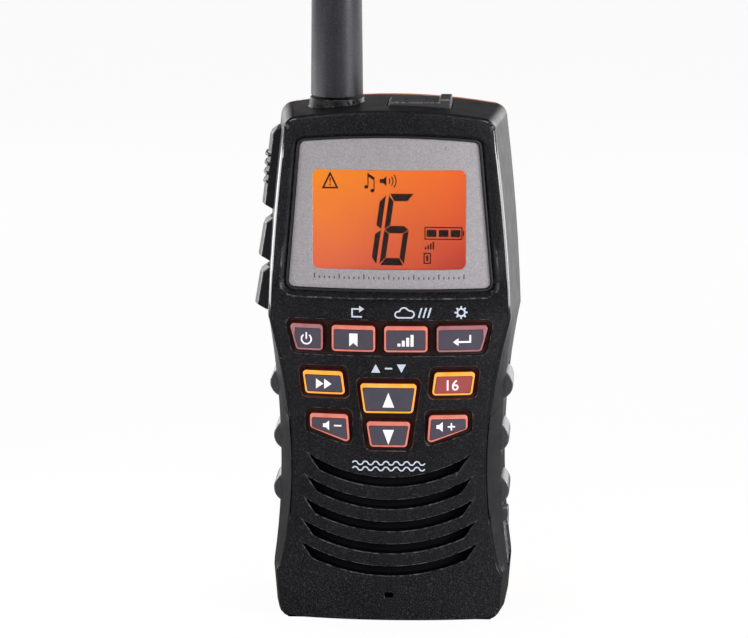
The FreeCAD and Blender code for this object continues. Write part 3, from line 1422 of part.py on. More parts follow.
def battery_door():
    half, wall = tray_half(), z.tray_wall
    door_front = z.rear_depth - z.door_thickness
    outer = box("door_seal_outside", (-half, half), (z.tray_rear, z.tray_rear + z.door_seal_thickness),
                (z.tray_bottom, tray_top()))
    inner = box("door_seal_inside", (wall - half, half - wall), (z.tray_rear - 1, door_front),
                (z.tray_bottom + wall, tray_top() - wall))
    keep(cut("door_seal_frame", outer, inner), "door_seal")

    gap = z.run_gap
    barrel_y, barrel_z = barrel_spot()
    plate = rounded("door_plate", door_front, z.rear_depth,
                    corners(-z.door_half, z.door_half, z.door_bottom, z.door_top), z.door_corner)
    below = box("door_below", (-FAR, FAR), (door_front - 1, z.rear_depth + 1),
                (z.door_bottom - 1, barrel_z))
    notch = box("latch_notch", (-z.latch_half - gap, z.latch_half + gap),
                (door_front - 1, z.rear_depth + 1), (z.latch_bottom - gap, z.door_top + 1))
    lug_room = z.barrel_radius * 1.5 + gap
    notches = []
    for index, side in enumerate((-1, 1)):
        low, high = lug_span(side)
        notches.append(box(f"lug_notch_{index}", (low - gap, high + gap),
                           (door_front - 1, z.rear_depth + 1), (z.door_bottom - 1,
                                                                barrel_z + lug_room)))
    trimmed = cut("door_trimmed", plate, below, notch, *notches)
    barrel = rod("barrel", "x", barrel_spot(), z.barrel_radius, -z.barrel_half, z.barrel_half)
    bore = rod("barrel_bore", "x", barrel_spot(), z.door_pin_radius + z.fit_gap,
               -z.barrel_half - 1, z.barrel_half + 1)
    keep(cut("door", join("door_whole", trimmed, barrel), bore), "battery_door")
    keep(rod("door_pin", "x", barrel_spot(), z.door_pin_radius, -z.door_pin_half,
             z.door_pin_half), "door_hinge_pin")

    body = box("latch_plate", (-z.latch_half, z.latch_half), (door_front, z.rear_depth),
               (z.latch_bottom, z.latch_top))
    tongue = box("latch_tongue", (gap - z.latch_half, z.latch_half - gap),
                 (z.tray_rear - z.sheet_thickness, door_front),
                 (z.latch_tongue_low, z.latch_tongue_low + z.latch_tongue))
    grip = box("latch_grip", (-z.latch_half * 0.7, z.latch_half * 0.7),
               (z.rear_depth, z.rear_depth + z.latch_grip),
               (z.latch_bottom + 1, z.latch_top - 1))
    keep(join("latch", body, tongue, grip), "door_latch")


# ---- belt clip ----------------------------------------------------------------------

def belt_clip():
    face = z.head_rear_depth
    plate_back = face + z.bracket_thickness
    pivot_y = plate_back + z.clip_barrel_radius + z.seat_gap
    pivot = (pivot_y, z.clip_pivot_height)
    arm_front = face + z.clip_gap
    gap = z.run_gap
    ear_in = z.clip_half + gap
    ear_out = ear_in + z.bracket_thickness
    ear = z.clip_barrel_radius + z.seat_gap
    shapes = [box("bracket_plate", (-ear_out, ear_out), (face, plate_back),
                  (z.bracket_bottom, z.bracket_top))]
    for index, span in enumerate(((-ear_out, -ear_in), (ear_in, ear_out))):
        shapes.append(box(f"ear_{index}", span, (face, pivot_y + ear),
                          (z.clip_pivot_height - ear, z.clip_pivot_height + ear)))
    holes = [rod("ear_bore", "x", pivot, z.clip_pin_radius + z.fit_gap, -ear_out - 1, ear_out + 1)]
    screws = []
    for index, x in enumerate((-z.bracket_screw_x, z.bracket_screw_x)):
        spot = (x, z.bracket_screw_height)
        holes.append(rod(f"plate_bore_{index}", "y", spot, z.screw_radius + z.fit_gap,
                         face - 1, plate_back + 1))
        shank = rod(f"clip_shank_{index}", "y", spot, z.screw_radius, z.float_rear + z.seat_gap,
                    plate_back)
        head = rod(f"clip_head_{index}", "y", spot, z.screw_head_radius, plate_back,
                   plate_back + z.screw_radius)
        screws.append(join(f"clip_screw_{index}", shank, head))
    keep(cut("bracket", join("bracket_blank", *shapes), *holes), "clip_bracket")
    keep(group("clip_screw_set", *screws), "clip_screws")
    keep(rod("clip_pin_rod", "x", pivot, z.clip_pin_radius, -ear_out, ear_out), "clip_pin")

    arm = box("clip_arm", (-z.clip_half, z.clip_half), (arm_front, arm_front + z.clip_thickness),
              (z.clip_bottom, z.clip_top))
    lip = box("clip_lip_bar", (-z.clip_half, z.clip_half), (arm_front - z.clip_lip, arm_front + 1),
              (z.clip_bottom, z.clip_bottom + z.clip_thickness))
    inner = z.clip_half - z.clip_barrel_length
    knuckles = [rod(f"knuckle_{i}", "x", pivot, z.clip_barrel_radius, *span)
                for i, span in enumerate(((-z.clip_half, -inner), (inner, z.clip_half)))]
    bore = rod("knuckle_bore", "x", pivot, z.clip_pin_radius + z.fit_gap, -FAR, FAR)
    room = rod("spring_room", "x", pivot, z.clip_barrel_radius, -inner, inner)
    keep(cut("clip", join("clip_blank", arm, lip, *knuckles), bore, room), "belt_clip")
    reach = inner - gap
    keep(tube("clip_coil", "x", pivot, z.clip_barrel_radius - gap,
              z.clip_pin_radius + z.fit_gap * 2, -reach, reach), "clip_spring")


# ---- the whole ----------------------------------------------------------------------

def build():
    front_shell()
    case_gasket()
    display()
    main_board()
    key_mat()
    for name in KEYS:
        front_key(name)
    shield_can()
    foam_float()
    speaker()
    microphone()
    side_keys()
    grip_inserts()
    jack_cover()
    jacks()
    charge_parts()
    antenna()
    rear_shell()
    case_screws()
    battery_tray()
    batteries()
    battery_door()
    belt_clip()


def check():
    """Stop if any object failed or any sub-part is empty or invalid."""
    doc.recompute()
    for item in doc.Objects:
        if "Invalid" in item.State or "Error" in item.State:
            raise RuntimeError(f"{item.Name} failed: {item.State}")
    for item in pieces:
        if item.Shape.isNull() or not item.Shape.isValid() or not item.Shape.Solids:
            raise RuntimeError(f"{item.Label} has no valid solid")


def write():
    """Write each sub-part to its own file."""
    os.makedirs("parts", exist_ok=True)
    for item in pieces:
        item.Shape.exportStep(f"parts/{item.Label}.step")


build()
check()
write()
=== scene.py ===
"""Looks of a floating handheld marine radio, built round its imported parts."""
import json
import math

import bmesh
import bpy
from bpy.props import FloatProperty, FloatVectorProperty, PointerProperty
from mathutils import Matrix, Vector

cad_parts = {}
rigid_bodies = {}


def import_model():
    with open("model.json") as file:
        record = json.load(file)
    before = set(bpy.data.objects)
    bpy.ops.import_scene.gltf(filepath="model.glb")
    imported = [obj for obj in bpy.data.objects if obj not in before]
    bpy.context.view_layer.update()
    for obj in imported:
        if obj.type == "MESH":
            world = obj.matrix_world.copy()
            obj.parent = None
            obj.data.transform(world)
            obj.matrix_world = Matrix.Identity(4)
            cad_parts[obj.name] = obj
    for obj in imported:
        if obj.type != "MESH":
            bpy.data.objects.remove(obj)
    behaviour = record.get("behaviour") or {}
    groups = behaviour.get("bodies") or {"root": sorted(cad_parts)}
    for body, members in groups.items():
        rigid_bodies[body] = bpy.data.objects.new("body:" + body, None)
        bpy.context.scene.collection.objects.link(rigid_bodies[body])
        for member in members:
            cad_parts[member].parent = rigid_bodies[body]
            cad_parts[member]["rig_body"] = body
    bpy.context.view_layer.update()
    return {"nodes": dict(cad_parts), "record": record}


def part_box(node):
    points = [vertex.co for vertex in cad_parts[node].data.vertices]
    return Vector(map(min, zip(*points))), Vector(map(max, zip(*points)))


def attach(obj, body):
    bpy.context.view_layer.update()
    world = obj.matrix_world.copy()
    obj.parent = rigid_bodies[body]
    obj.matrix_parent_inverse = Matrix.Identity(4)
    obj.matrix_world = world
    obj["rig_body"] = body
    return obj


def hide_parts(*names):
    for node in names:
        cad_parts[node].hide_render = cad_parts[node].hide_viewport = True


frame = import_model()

bl_info = {
    "name": "Handheld marine radio",
    "version": (1, 0, 0),
    "blender": (4, 5, 0),
    "location": "3D View > Sidebar > Marine Radio",
    "description": "Builds the looks of a floating handheld marine radio round its packed parts",
    "category": "Object",
}

MM = 0.001
X, Z = 0, 2                 # the axes that a cutting plane may be square to
CROWN_RADIUS = 115.0        # the front face is part of a cylinder of this radius, in mm
CROWN_AXIS = 95.5           # its axis stands at this Y, in mm
ON_CROWN = 0.02             # a face of the front is this near to the crown, in mm
NEAR_CROWN = 0.16           # and this near once its edges are rounded
FOOT_BAND = 5.0             # below this Z the front is recut up to its rim, in mm
HEAD_BAND = 78.5            # and above this Z
SIDE_BAND = 22.6            # and outside this X
TOP_STRIP = 114.0           # above this Z it is cut upright as well
PANEL_SIDE = 25.6           # the panel's opening is inside this X, in mm,
PANEL_FOOT = 81.0           # above this Z,
PANEL_HEAD = 122.6          # below this Z
PANEL_DEPTH = 1.2           # and less than this below the crown
RIM_FOOT = 4.0              # the rim's lower end is below this Z, in mm,
RIM_HEAD = 121.0            # its upper end above this Z
KEYPAD_SIDE = 22.0          # and its sides outside this X, with keys and slots inside it
RIM_DEPTH = 1.0             # its rounding ends this far below the crown, in mm
SLOT_TOP = 38.0             # the speaker slots are below this Z, in mm
SLOT_DEPTH = 0.35           # and take painted shade from this far below the crown
POCKET_REACH = 1.6          # a front key's pocket reaches this far past the key, in mm
POCKET_TOP = 0.03           # it takes a painted glow from this far below the crown,
POCKET_GLOW = 0.3           # or from here beside a dimmer key,
POCKET_FLOOR = 0.7          # has its floor below this
POCKET_END = 1.0            # and ends here
THIN_ROUND = 0.2 * MM       # a rounded strip narrower than this is fully lightened as wear and painted highlight, in m
BROAD_WEAR_AND_HIGHLIGHT = 0.1            # how much a broader one is lightened
CHAMFER_WEAR_AND_HIGHLIGHT = 0.05         # and the chamfer round the panel
KEY_FACE = -0.96            # depth of a key's printed face below the crown, in mm: it is proud
KEY_INK = -0.99             # and of the print on it
FACE_DROP = 0.35            # the face's middle is this much lower than its key's, in mm
FRONT_FACING = -0.9         # a face of the case with a lower normal Y faces forwards,
LEDGE_FACING = -0.93        # one in a pocket with a lower one than this is a ledge,
WALL_FACING = -0.85         # and one with a higher one than this is a wall
RIM_LEVEL = 0.06            # an edge of the rim is this near to the crown, in mm
SIDE_CUTS = range(10, 76, 5)        # Z of the cuts in the side bands, in mm
HEAD_CUTS = range(84, 115, 6)       # and in the head
TOP_CUTS = range(-16, 17, 8)        # X of the upright cuts at the top, in mm,
FOOT_CUTS = range(-20, 21, 10)      # in the foot band
CROWN_CUTS = range(-20, 21, 4)      # and over the whole front, which let it follow the crown
NODE_WELD = 2e-6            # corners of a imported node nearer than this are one, in m
NODE_FLAT = math.radians(0.4)       # and faces that meet at less than this are one
SHEET_WELD = 1e-4           # corners of a print nearer than this are one, in mm
NODES = frame["nodes"]
SLOT_OF = {part["node"]: part["material_slot"] for part in frame["record"]["subparts"]}
FRONT_KEYS = ("power_key", "memory_key", "level_key", "enter_key", "scan_key", "priority_key",
              "channel_up_key", "channel_down_key", "volume_down_key", "volume_up_key")
FINISHES = {}


# Sizes and colours a user would change

def length_property(name, description, length):
    """A length, given in mm."""
    return FloatProperty(name=name, description=description, default=length * MM, min=0,
                         unit="LENGTH")


def colour_property(name, description, colour):
    return FloatVectorProperty(name=name, description=description, default=colour, subtype="COLOR")


def power_property(name, description, power):
    return FloatProperty(name=name, description=description, default=power, min=0, unit="POWER")


class RadioEdges(bpy.types.PropertyGroup):
    rim: length_property("Front rim", "Rounding of the case's front rim", 0.8)
    opening: length_property("Panel opening", "Chamfer round the display panel", 1.4)
    moulding: length_property("Mouldings", "Rounding of the other moulded edges", 0.22)
    rubber: length_property("Rubber parts", "Rounding of the rubber parts", 0.35)
    metal: length_property("Metal parts", "Rounding of the metal parts", 0.15)
    side_slope: length_property("Side key slope", "How far a side key slopes back", 1.0)
    side_start: FloatProperty(name="Side key slope start", description="Y where the slope starts",
                              default=-4.6 * MM, unit="LENGTH")
    side_reach: length_property("Side key slope depth", "Depth of the sloped part", 3.4)


class RadioKeys(bpy.types.PropertyGroup):
    edge: length_property("Key edge", "Rounding of a front key's edge", 0.2)
    rim: length_property("Lit rim", "Width of the lit rim at the sides and foot", 0.27)
    head: length_property("Lit head", "Extra width of the lit rim at the head", 0.5)
    line: length_property("Dark line", "Width of the line round the printed face", 0.14)


class RadioColours(bpy.types.PropertyGroup):
    case: colour_property("Case", "Front shell of the case", (0.0058, 0.0054, 0.0066))
    shell: colour_property("Rear shell", "Bright rear shell", (0.68, 0.16, 0.025))
    silver: colour_property("Panel", "Silver paint of the display panel", (0.375, 0.353, 0.372))
    key: colour_property("Key face", "Printed face of the front keys", (0.047, 0.043, 0.060))
    priority: colour_property("Priority key", "Face of the priority key", (0.235, 0.043, 0.043))
    legend: colour_property("Legends", "Ink of the marks", (0.50, 0.55, 0.64))
    segment: colour_property("Segments", "Dark marks of the display", (0.012, 0.001, 0.001))


class RadioStage(bpy.types.PropertyGroup):
    key_light: power_property("Key light", "Power of the large lamp in front", 2.0)
    fill_light: power_property("Fill light", "Power of the lamp at the left", 2.8)
    side_light: power_property("Side light", "Power of the lamp at the right", 5.0)
    low_light: power_property("Low lights", "Power of the low strips at the sides", 0.24)
    back_light: power_property("Back lights", "Power of the two lamps behind", 1.4)
    room: FloatProperty(name="Room light", description="Strength of the even light",
                        default=0.36, min=0)
    dusk: FloatProperty(name="Room in front", description="How bright gloss sees the room in front",
                        default=0.05, min=0)
    floor: length_property("Floor", "Radius of the floor", 3000.0)


# Finishes

def feed(tree, socket, value):
    """Links an output to a socket, or sets a plain value on it."""
    if isinstance(value, bpy.types.NodeSocket):
        tree.links.new(value, socket)
    else:
        socket.default_value = value


class Finish:
    """One material and the few node kinds that its pattern is made from."""

    def __init__(self, name):
        self.material = bpy.data.materials.new(name)
        self.material.use_nodes = True
        self.tree = self.material.node_tree
        self.shader = self.tree.nodes["Principled BSDF"]
        self.place = self.tree.nodes.new("ShaderNodeTexCoord").outputs["Object"]
        FINISHES[name] = self.material

    def node(self, kind, **inputs):
        """A new node; a name that starts with set_ is a setting of it, the others are sockets."""
        made = self.tree.nodes.new(kind)
        for key, value in inputs.items():
            if key.startswith("set_"):
                setattr(made, key[4:], value)
            else:
                feed(self.tree, made.inputs[key.replace("_", " ")], value)
        return made

    def noise(self, scale, detail=2.0):
        return self.node("ShaderNodeTexNoise", Vector=self.place, Scale=scale,
                         Detail=detail).outputs["Fac"]

    def span(self, value, low, high, to_low=0.0, to_high=1.0):
        """Turns a range of a value into another range."""
        return self.node("ShaderNodeMapRange", Value=value, From_Min=low, From_Max=high,
                         To_Min=to_low, To_Max=to_high).outputs["Result"]

    def drift(self, scale, low=0.0, high=1.0, detail=2.0):
        """Noise that wanders between two levels."""
        return self.span(self.noise(scale, detail), 0.3, 0.7, low, high)

    def math(self, operation, first, second):
        made = self.node("ShaderNodeMath", set_operation=operation)
        for socket, value in zip(made.inputs, (first, second)):
            feed(self.tree, socket, value)
        return made.outputs[0]

    def mix(self, factor, first, second):
        """Blends two colours, which this node takes at its inputs 6 and 7."""
        made = self.node("ShaderNodeMix", set_data_type="RGBA", Factor=factor)
        feed(self.tree, made.inputs[6], first)
        feed(self.tree, made.inputs[7], second)
        return made.outputs[2]

    def put(self, name, value):
        feed(self.tree, self.shader.inputs[name], value)

    def grain(self, height, strength, depth):
        """Small bumps that follow a pattern, with their depth in m."""
        bump = self.node("ShaderNodeBump", Height=height, Strength=strength, Distance=depth)
        self.put("Normal", bump.outputs["Normal"])

    def glow(self, colour, strength):
        self.put("Emission Color", colour)
        self.put("Emission Strength", strength)

    def lacquer(self, weight, rough):
        self.put("Coat Weight", weight)
        self.put("Coat Roughness", rough)


def shade(colour, share):
    return [part * share for part in colour]


def rgba(colour, share=1.0):
    return (*shade(colour, share), 1.0)


def moulded(name, colour, spread, grain, depth, rough, metallic=0.0, worn_and_lit=None, speckle_glint=0.0,
            coat=0.0, shine=0.5):
    """Plastic, rubber or metal with a fine grain, cloudy colour, lighter speckles painted as glints
    and lighter edges for wear and painted highlight; sizes in m.
    """
    finish = Finish(name)
    cloud = finish.span(finish.noise(60.0, 3.0), 0.35, 0.65)
    fine = finish.noise(1.0 / grain)
    base = finish.mix(cloud, rgba(colour, 1.0 - spread / 2), rgba(colour, 1.0 + spread / 2))
    # lighter speckles: painted glints of the textured surface
    if speckle_glint:
        bright = rgba([part * 3.0 + 0.014 for part in colour])
        base = finish.mix(finish.span(fine, 0.5, 0.7, 0.0, speckle_glint), base, bright)
    # lighter rounded edges: partly real wear, partly painted highlight lines along them
    if worn_and_lit:
        wear_and_highlight = finish.node("ShaderNodeAttribute", set_attribute_name="wear_and_highlight").outputs["Fac"]
        patchy = finish.math("MULTIPLY", wear_and_highlight, finish.span(finish.noise(900.0, 4.0), 0.42, 0.7))
        base = finish.mix(patchy, base, rgba(worn_and_lit))
    finish.put("Base Color", base)
    finish.put("Roughness", finish.drift(180.0, *rough, detail=4.0))
    finish.put("Metallic", metallic)
    finish.put("Specular IOR Level", shine)
    finish.grain(fine, 0.6, depth)
    if coat:
        finish.lacquer(coat, 0.08)


def make_finishes(colours):
    moulded("case_black", colours.case, 0.2, 0.0003, 0.00004, (0.33, 0.42),
            worn_and_lit=(0.10, 0.095, 0.10), speckle_glint=1.0, shine=0.25)
    moulded("case_rim", colours.case, 0.2, 0.0008, 0.000004, (0.16, 0.22), coat=0.8)
    # painted shade: the case's black made darker deep in the speaker slots and the microphone hole
    moulded("slot_painted_shade", (0.0018, 0.0018, 0.0024), 0.3, 0.0004, 0.00001, (0.5, 0.6), shine=0.06)
    moulded("case_orange", colours.shell, 0.12, 0.0004, 0.00003, (0.42, 0.55),
            worn_and_lit=(0.9, 0.35, 0.12))
    moulded("seal_rubber", (0.008, 0.008, 0.009), 0.3, 0.0005, 0.00001, (0.5, 0.65))
    moulded("inner_plastic", (0.03, 0.03, 0.032), 0.3, 0.0006, 0.00002, (0.4, 0.6))
    moulded("screw_steel", (0.55, 0.55, 0.56), 0.15, 0.0005, 0.000005, (0.22, 0.36), metallic=1.0,
            worn_and_lit=(0.75, 0.75, 0.76))
    moulded("mat_silicone", (0.55, 0.53, 0.50), 0.1, 0.0008, 0.00001, (0.45, 0.6))
    moulded("shield_tin", (0.60, 0.60, 0.58), 0.12, 0.0012, 0.000005, (0.25, 0.42), metallic=1.0)
    moulded("foam", (0.32, 0.32, 0.34), 0.3, 0.0011, 0.0002, (0.85, 0.98))
    moulded("cone_paper", (0.05, 0.045, 0.04), 0.4, 0.0007, 0.00004, (0.75, 0.9))
    moulded("magnet_iron", (0.10, 0.10, 0.105), 0.25, 0.0009, 0.00002, (0.4, 0.6), metallic=0.7)
    moulded("membrane", (0.003, 0.003, 0.004), 0.3, 0.0003, 0.00001, (0.6, 0.8), shine=0.1)
    moulded("insert_gloss", (0.055, 0.054, 0.060), 0.2, 0.0012, 0.000004, (0.2, 0.28),
            worn_and_lit=(0.12, 0.12, 0.13), coat=0.6)
    moulded("cover_rubber", (0.050, 0.047, 0.052), 0.25, 0.0003, 0.00002, (0.5, 0.65),
            worn_and_lit=(0.22, 0.21, 0.22))
    moulded("antenna_rubber", (0.020, 0.019, 0.023), 0.25, 0.0003, 0.00001, (0.36, 0.48),
            worn_and_lit=(0.06, 0.06, 0.065), speckle_glint=0.4, shine=0.3)
    moulded("connector_brass", (0.70, 0.50, 0.22), 0.2, 0.0008, 0.000005, (0.2, 0.34), metallic=1.0)
    moulded("bushing_blackened", (0.012, 0.011, 0.010), 0.3, 0.0008, 0.000005, (0.35, 0.5),
            metallic=0.4)
    moulded("latch_black", (0.02, 0.02, 0.022), 0.25, 0.0004, 0.00003, (0.4, 0.55),
            worn_and_lit=(0.07, 0.07, 0.08))
    moulded("clip_black", (0.018, 0.018, 0.02), 0.25, 0.0004, 0.00004, (0.38, 0.52),
            worn_and_lit=(0.07, 0.07, 0.08))
    moulded("side_key_rubber", (0.012, 0.0115, 0.014), 0.25, 0.0003, 0.00001, (0.26, 0.36),
            worn_and_lit=(0.12, 0.12, 0.13))
    moulded("diffuser_white", (0.78, 0.78, 0.76), 0.06, 0.0006, 0.00001, (0.4, 0.55))
    silver_finish(colours.silver)
    board_finish()
    cell_finish()
    display_finish()
    window_finish()
    key_finishes(colours)
    ink_finish("legend_ink", colours.legend, 0.0)
    ink_finish("key_ink", (0.80, 0.72, 0.73), 0.25)
    ink_finish("segment_ink", colours.segment, 0.0)
    ink_finish("panel_ink", (0.03, 0.03, 0.035), 0.0)
    ink_finish("cover_mark", (0.004, 0.004, 0.005), 0.0)


def silver_finish(silver):
    """Silver paint: fine metal flakes under a satin lacquer."""
    finish = Finish("panel_silver")
    flake = finish.node("ShaderNodeTexVoronoi", Vector=finish.place, Scale=4200.0)
    tone = finish.mix(finish.span(flake.outputs["Color"], 0.1, 0.9), rgba(silver, 0.82),
                      rgba(silver, 1.18))
    finish.put("Base Color", finish.mix(finish.drift(40.0, 0.0, 0.15), tone, rgba(silver, 0.8)))
    finish.put("Metallic", 0.25)
    finish.put("Roughness", finish.drift(90.0, 0.27, 0.33, detail=1.0))
    finish.grain(finish.noise(3600.0, 1.0), 0.25, 0.00002)
    finish.lacquer(0.4, 0.16)


def board_finish():
    """Green circuit board with its copper runs showing through the lacquer."""
    finish = Finish("board_green")
    run = finish.node("ShaderNodeTexBrick", Vector=finish.place, Scale=240.0, Mortar_Size=0.06,
                      Color1=rgba((0, 0, 0)), Color2=rgba((0.35, 0.35, 0.35)),
                      Mortar=rgba((1, 1, 1))).outputs["Fac"]
    green, copper = rgba((0.012, 0.085, 0.03)), rgba((0.03, 0.17, 0.06))
    finish.put("Base Color", finish.mix(run, green, copper))
    finish.put("Roughness", finish.drift(300.0, 0.25, 0.4))
    finish.grain(run, 0.4, 0.00003)


def cell_finish():
    """Plain cell jacket: a grey can with one dark band."""
    finish = Finish("cell_can")
    band_foot = 0.047       # Z where the band starts, in m
    height = finish.node("ShaderNodeSeparateXYZ", Vector=finish.place).outputs["Z"]
    band = finish.math("GREATER_THAN", height, band_foot)
    grey, black, cloudy = (0.36, 0.37, 0.38), (0.04, 0.04, 0.045), (0.2, 0.2, 0.21)
    cloud = finish.drift(220.0, 0.0, 0.3, detail=3.0)
    jacket = finish.mix(band, rgba(grey), rgba(black))
    finish.put("Base Color", finish.mix(cloud, jacket, rgba(cloudy)))
    finish.put("Metallic", 0.7)
    finish.put("Roughness", finish.drift(400.0, 0.25, 0.4))
    finish.grain(finish.noise(900.0), 0.2, 0.00002)


def display_finish():
    """Lit amber display: warmer at the head, redder at the right and the foot."""
    finish = Finish("display_amber")
    side, foot, head = 0.0184, 0.0873, 0.1114       # the lit area, in m
    axes = finish.node("ShaderNodeSeparateXYZ", Vector=finish.place).outputs
    across = finish.span(axes["X"], -side, side)
    up = finish.span(axes["Z"], foot, head)
    warm = finish.mix(across, rgba((0.93, 0.255, 0.004)), rgba((0.85, 0.12, 0.018)))
    red = finish.mix(across, rgba((0.74, 0.13, 0.062)), rgba((0.47, 0.040, 0.022)))
    lift = finish.math("ADD", up, finish.drift(55.0, -0.12, 0.12))
    finish.put("Base Color", rgba((0.02, 0.005, 0.003)))
    finish.put("Specular IOR Level", 0.1)
    finish.put("Roughness", finish.drift(500.0, 0.35, 0.5))
    finish.grain(finish.noise(2200.0), 0.15, 0.00001)
    finish.glow(finish.mix(finish.span(lift, 0.0, 1.0), red, warm), 1.0)


def window_finish():
    """Clear moulded window with faint haze."""
    finish = Finish("window_clear")
    clear, bluish = rgba((1, 1, 1)), rgba((0.985, 0.99, 1))
    finish.put("Base Color", finish.mix(finish.drift(80.0), clear, bluish))
    finish.put("Transmission Weight", 1.0)
    finish.put("IOR", 1.2)
    finish.put("Roughness", finish.span(finish.noise(700.0, 4.0), 0.4, 0.75, 0.0, 0.03))
    finish.grain(finish.noise(25.0), 0.05, 0.00002)


def lit_finish(name, low, high, strength, base):
    """Translucent key rubber lit from inside, brighter in patches."""
    finish = Finish(name)
    finish.put("Base Color", rgba(base))
    finish.put("Roughness", finish.drift(900.0, 0.28, 0.42))
    finish.grain(finish.noise(2600.0), 0.2, 0.00001)
    finish.glow(finish.mix(finish.drift(420.0), rgba(low), rgba(high)), strength)


def key_finishes(colours):
    lit_finish("rim_salmon", (0.60, 0.15, 0.11), (0.72, 0.24, 0.17), 0.8, (0.22, 0.06, 0.05))
    lit_finish("rim_rose", (0.27, 0.10, 0.11), (0.38, 0.16, 0.17), 0.75, (0.14, 0.06, 0.07))
    lit_finish("rim_amber", (0.86, 0.31, 0.015), (0.95, 0.42, 0.07), 0.95, (0.3, 0.12, 0.02))
    lit_finish("key_wall", (0.020, 0.003, 0.002), (0.05, 0.006, 0.003), 0.8, (0.02, 0.006, 0.006))
    lit_finish("line_red", (0.05, 0.004, 0.003), (0.09, 0.008, 0.005), 0.8, (0.03, 0.004, 0.004))
    # painted glow: the key pockets of the case are given the light of their keys as emission
    lit_finish("pocket_painted_glow_brown", (0.030, 0.005, 0.003), (0.075, 0.014, 0.007), 1.5,
               (0.012, 0.006, 0.005))
    lit_finish("pocket_painted_glow_red", (0.004, 0.0005, 0.0003), (0.016, 0.0018, 0.001), 0.9,
               (0.008, 0.005, 0.005))
    lit_finish("key_cap", shade(colours.key, 0.8), shade(colours.key, 1.15), 0.35, colours.key)
    lit_finish("key_red", shade(colours.priority, 0.9), shade(colours.priority, 1.1), 0.35,
               colours.priority)


def ink_finish(name, colour, strength):
    """Thin print, a little uneven."""
    finish = Finish(name)
    tone = finish.mix(finish.drift(1500.0, detail=3.0), rgba(colour, 0.92), rgba(colour))
    finish.put("Base Color", tone)
    finish.put("Roughness", finish.drift(800.0, 0.4, 0.55))
    finish.grain(finish.noise(2500.0), 0.15, 0.00001)
    finish.put("Specular IOR Level", 0.12)
    if strength:
        finish.glow(tone, strength)


# Making and placing pieces

def crown(x, depth=0.0):
    """Y of the crowned front at x, depth below it, all in mm."""
    return CROWN_AXIS - math.sqrt((CROWN_RADIUS - depth) ** 2 - x * x)


def below_crown(x, y):
    """How far a point is below the crowned front, in mm."""
    return y - crown(x)


def vertices(geometry):
    return {item for item in geometry if isinstance(item, bmesh.types.BMVert)}


def merged(node):
    """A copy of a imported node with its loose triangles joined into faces."""
    bm = bmesh.new()
    bm.from_mesh(NODES[node].data)
    bmesh.ops.remove_doubles(bm, verts=bm.verts, dist=NODE_WELD)
    bmesh.ops.dissolve_limit(bm, angle_limit=NODE_FLAT, verts=bm.verts, edges=bm.edges)
    bm.faces.layers.float.new("wear_and_highlight")
    bm.edges.layers.float.new("bevel_weight_edge")
    return bm


def sharp_edges(bm, angle=28.0):
    limit = math.radians(angle)
    return [e for e in bm.edges if len(e.link_faces) == 2 and e.calc_face_angle(0.0) > limit]


def round_edges(bm, edges, width, segments=2, wear_and_highlight=1.0):
    """Rounds these edges to one width and marks how much the new faces are lightened, as wear and
    painted highlight.
    """
    made = bmesh.ops.bevel(bm, geom=edges, offset=width, offset_type="OFFSET", segments=segments,
                           profile=0.5, affect="EDGES", clamp_overlap=False, material=-1,
                           loop_slide=True)
    worn_and_lit = bm.faces.layers.float["wear_and_highlight"]
    for face in made["faces"]:
        face[worn_and_lit] = wear_and_highlight


def cut_faces(bm, faces, axis, place):
    """Cuts these faces by a plane that is square to an axis, at a place in m."""
    geom = faces + list({e for f in faces for e in f.edges})
    geom += list({v for f in faces for v in f.verts})
    point, normal = [0.0] * 3, [0.0] * 3
    point[axis], normal[axis] = place, 1.0
    bmesh.ops.bisect_plane(bm, geom=geom, dist=1e-6, plane_co=point, plane_no=normal)


def round_by_width(bm, widths, segments=2):
    """Rounds edges that have different widths in one step and marks the new faces for lightening,
    as wear and painted highlight.
    """
    widest = max(widths.values())
    weight = bm.edges.layers.float["bevel_weight_edge"]
    for edge, width in widths.items():
        edge[weight] = width / widest
    blank = bpy.data.meshes.new("blank")
    bm.to_mesh(blank)
    bm.free()
    holder = bpy.data.objects.new("blank", blank)
    bpy.context.scene.collection.objects.link(holder)
    rounding = holder.modifiers.new("rounding", "BEVEL")
    rounding.limit_method, rounding.offset_type = "WEIGHT", "OFFSET"
    rounding.width, rounding.segments, rounding.profile = widest, segments, 0.5
    rounding.use_clamp_overlap, rounding.loop_slide, rounding.material = False, True, 1
    blank.materials.append(None)
    blank.materials.append(None)
    bpy.context.view_layer.update()
    ready = holder.evaluated_get(bpy.context.evaluated_depsgraph_get())
    mesh = bpy.data.meshes.new_from_object(ready)
    bpy.data.objects.remove(holder)
    bpy.data.meshes.remove(blank)
    bm = bmesh.new()
    bm.from_mesh(mesh)
    bpy.data.meshes.remove(mesh)
    worn_and_lit = bm.faces.layers.float.get("wear_and_highlight") or bm.faces.layers.float.new("wear_and_highlight")
    for face in bm.faces:
        if face.material_index:
            longest = max(edge.calc_length() for edge in face.edges)
            face[worn_and_lit] = 1.0 if face.calc_area() < longest * THIN_ROUND else BROAD_WEAR_AND_HIGHLIGHT
            face.material_index = 0
    return bm


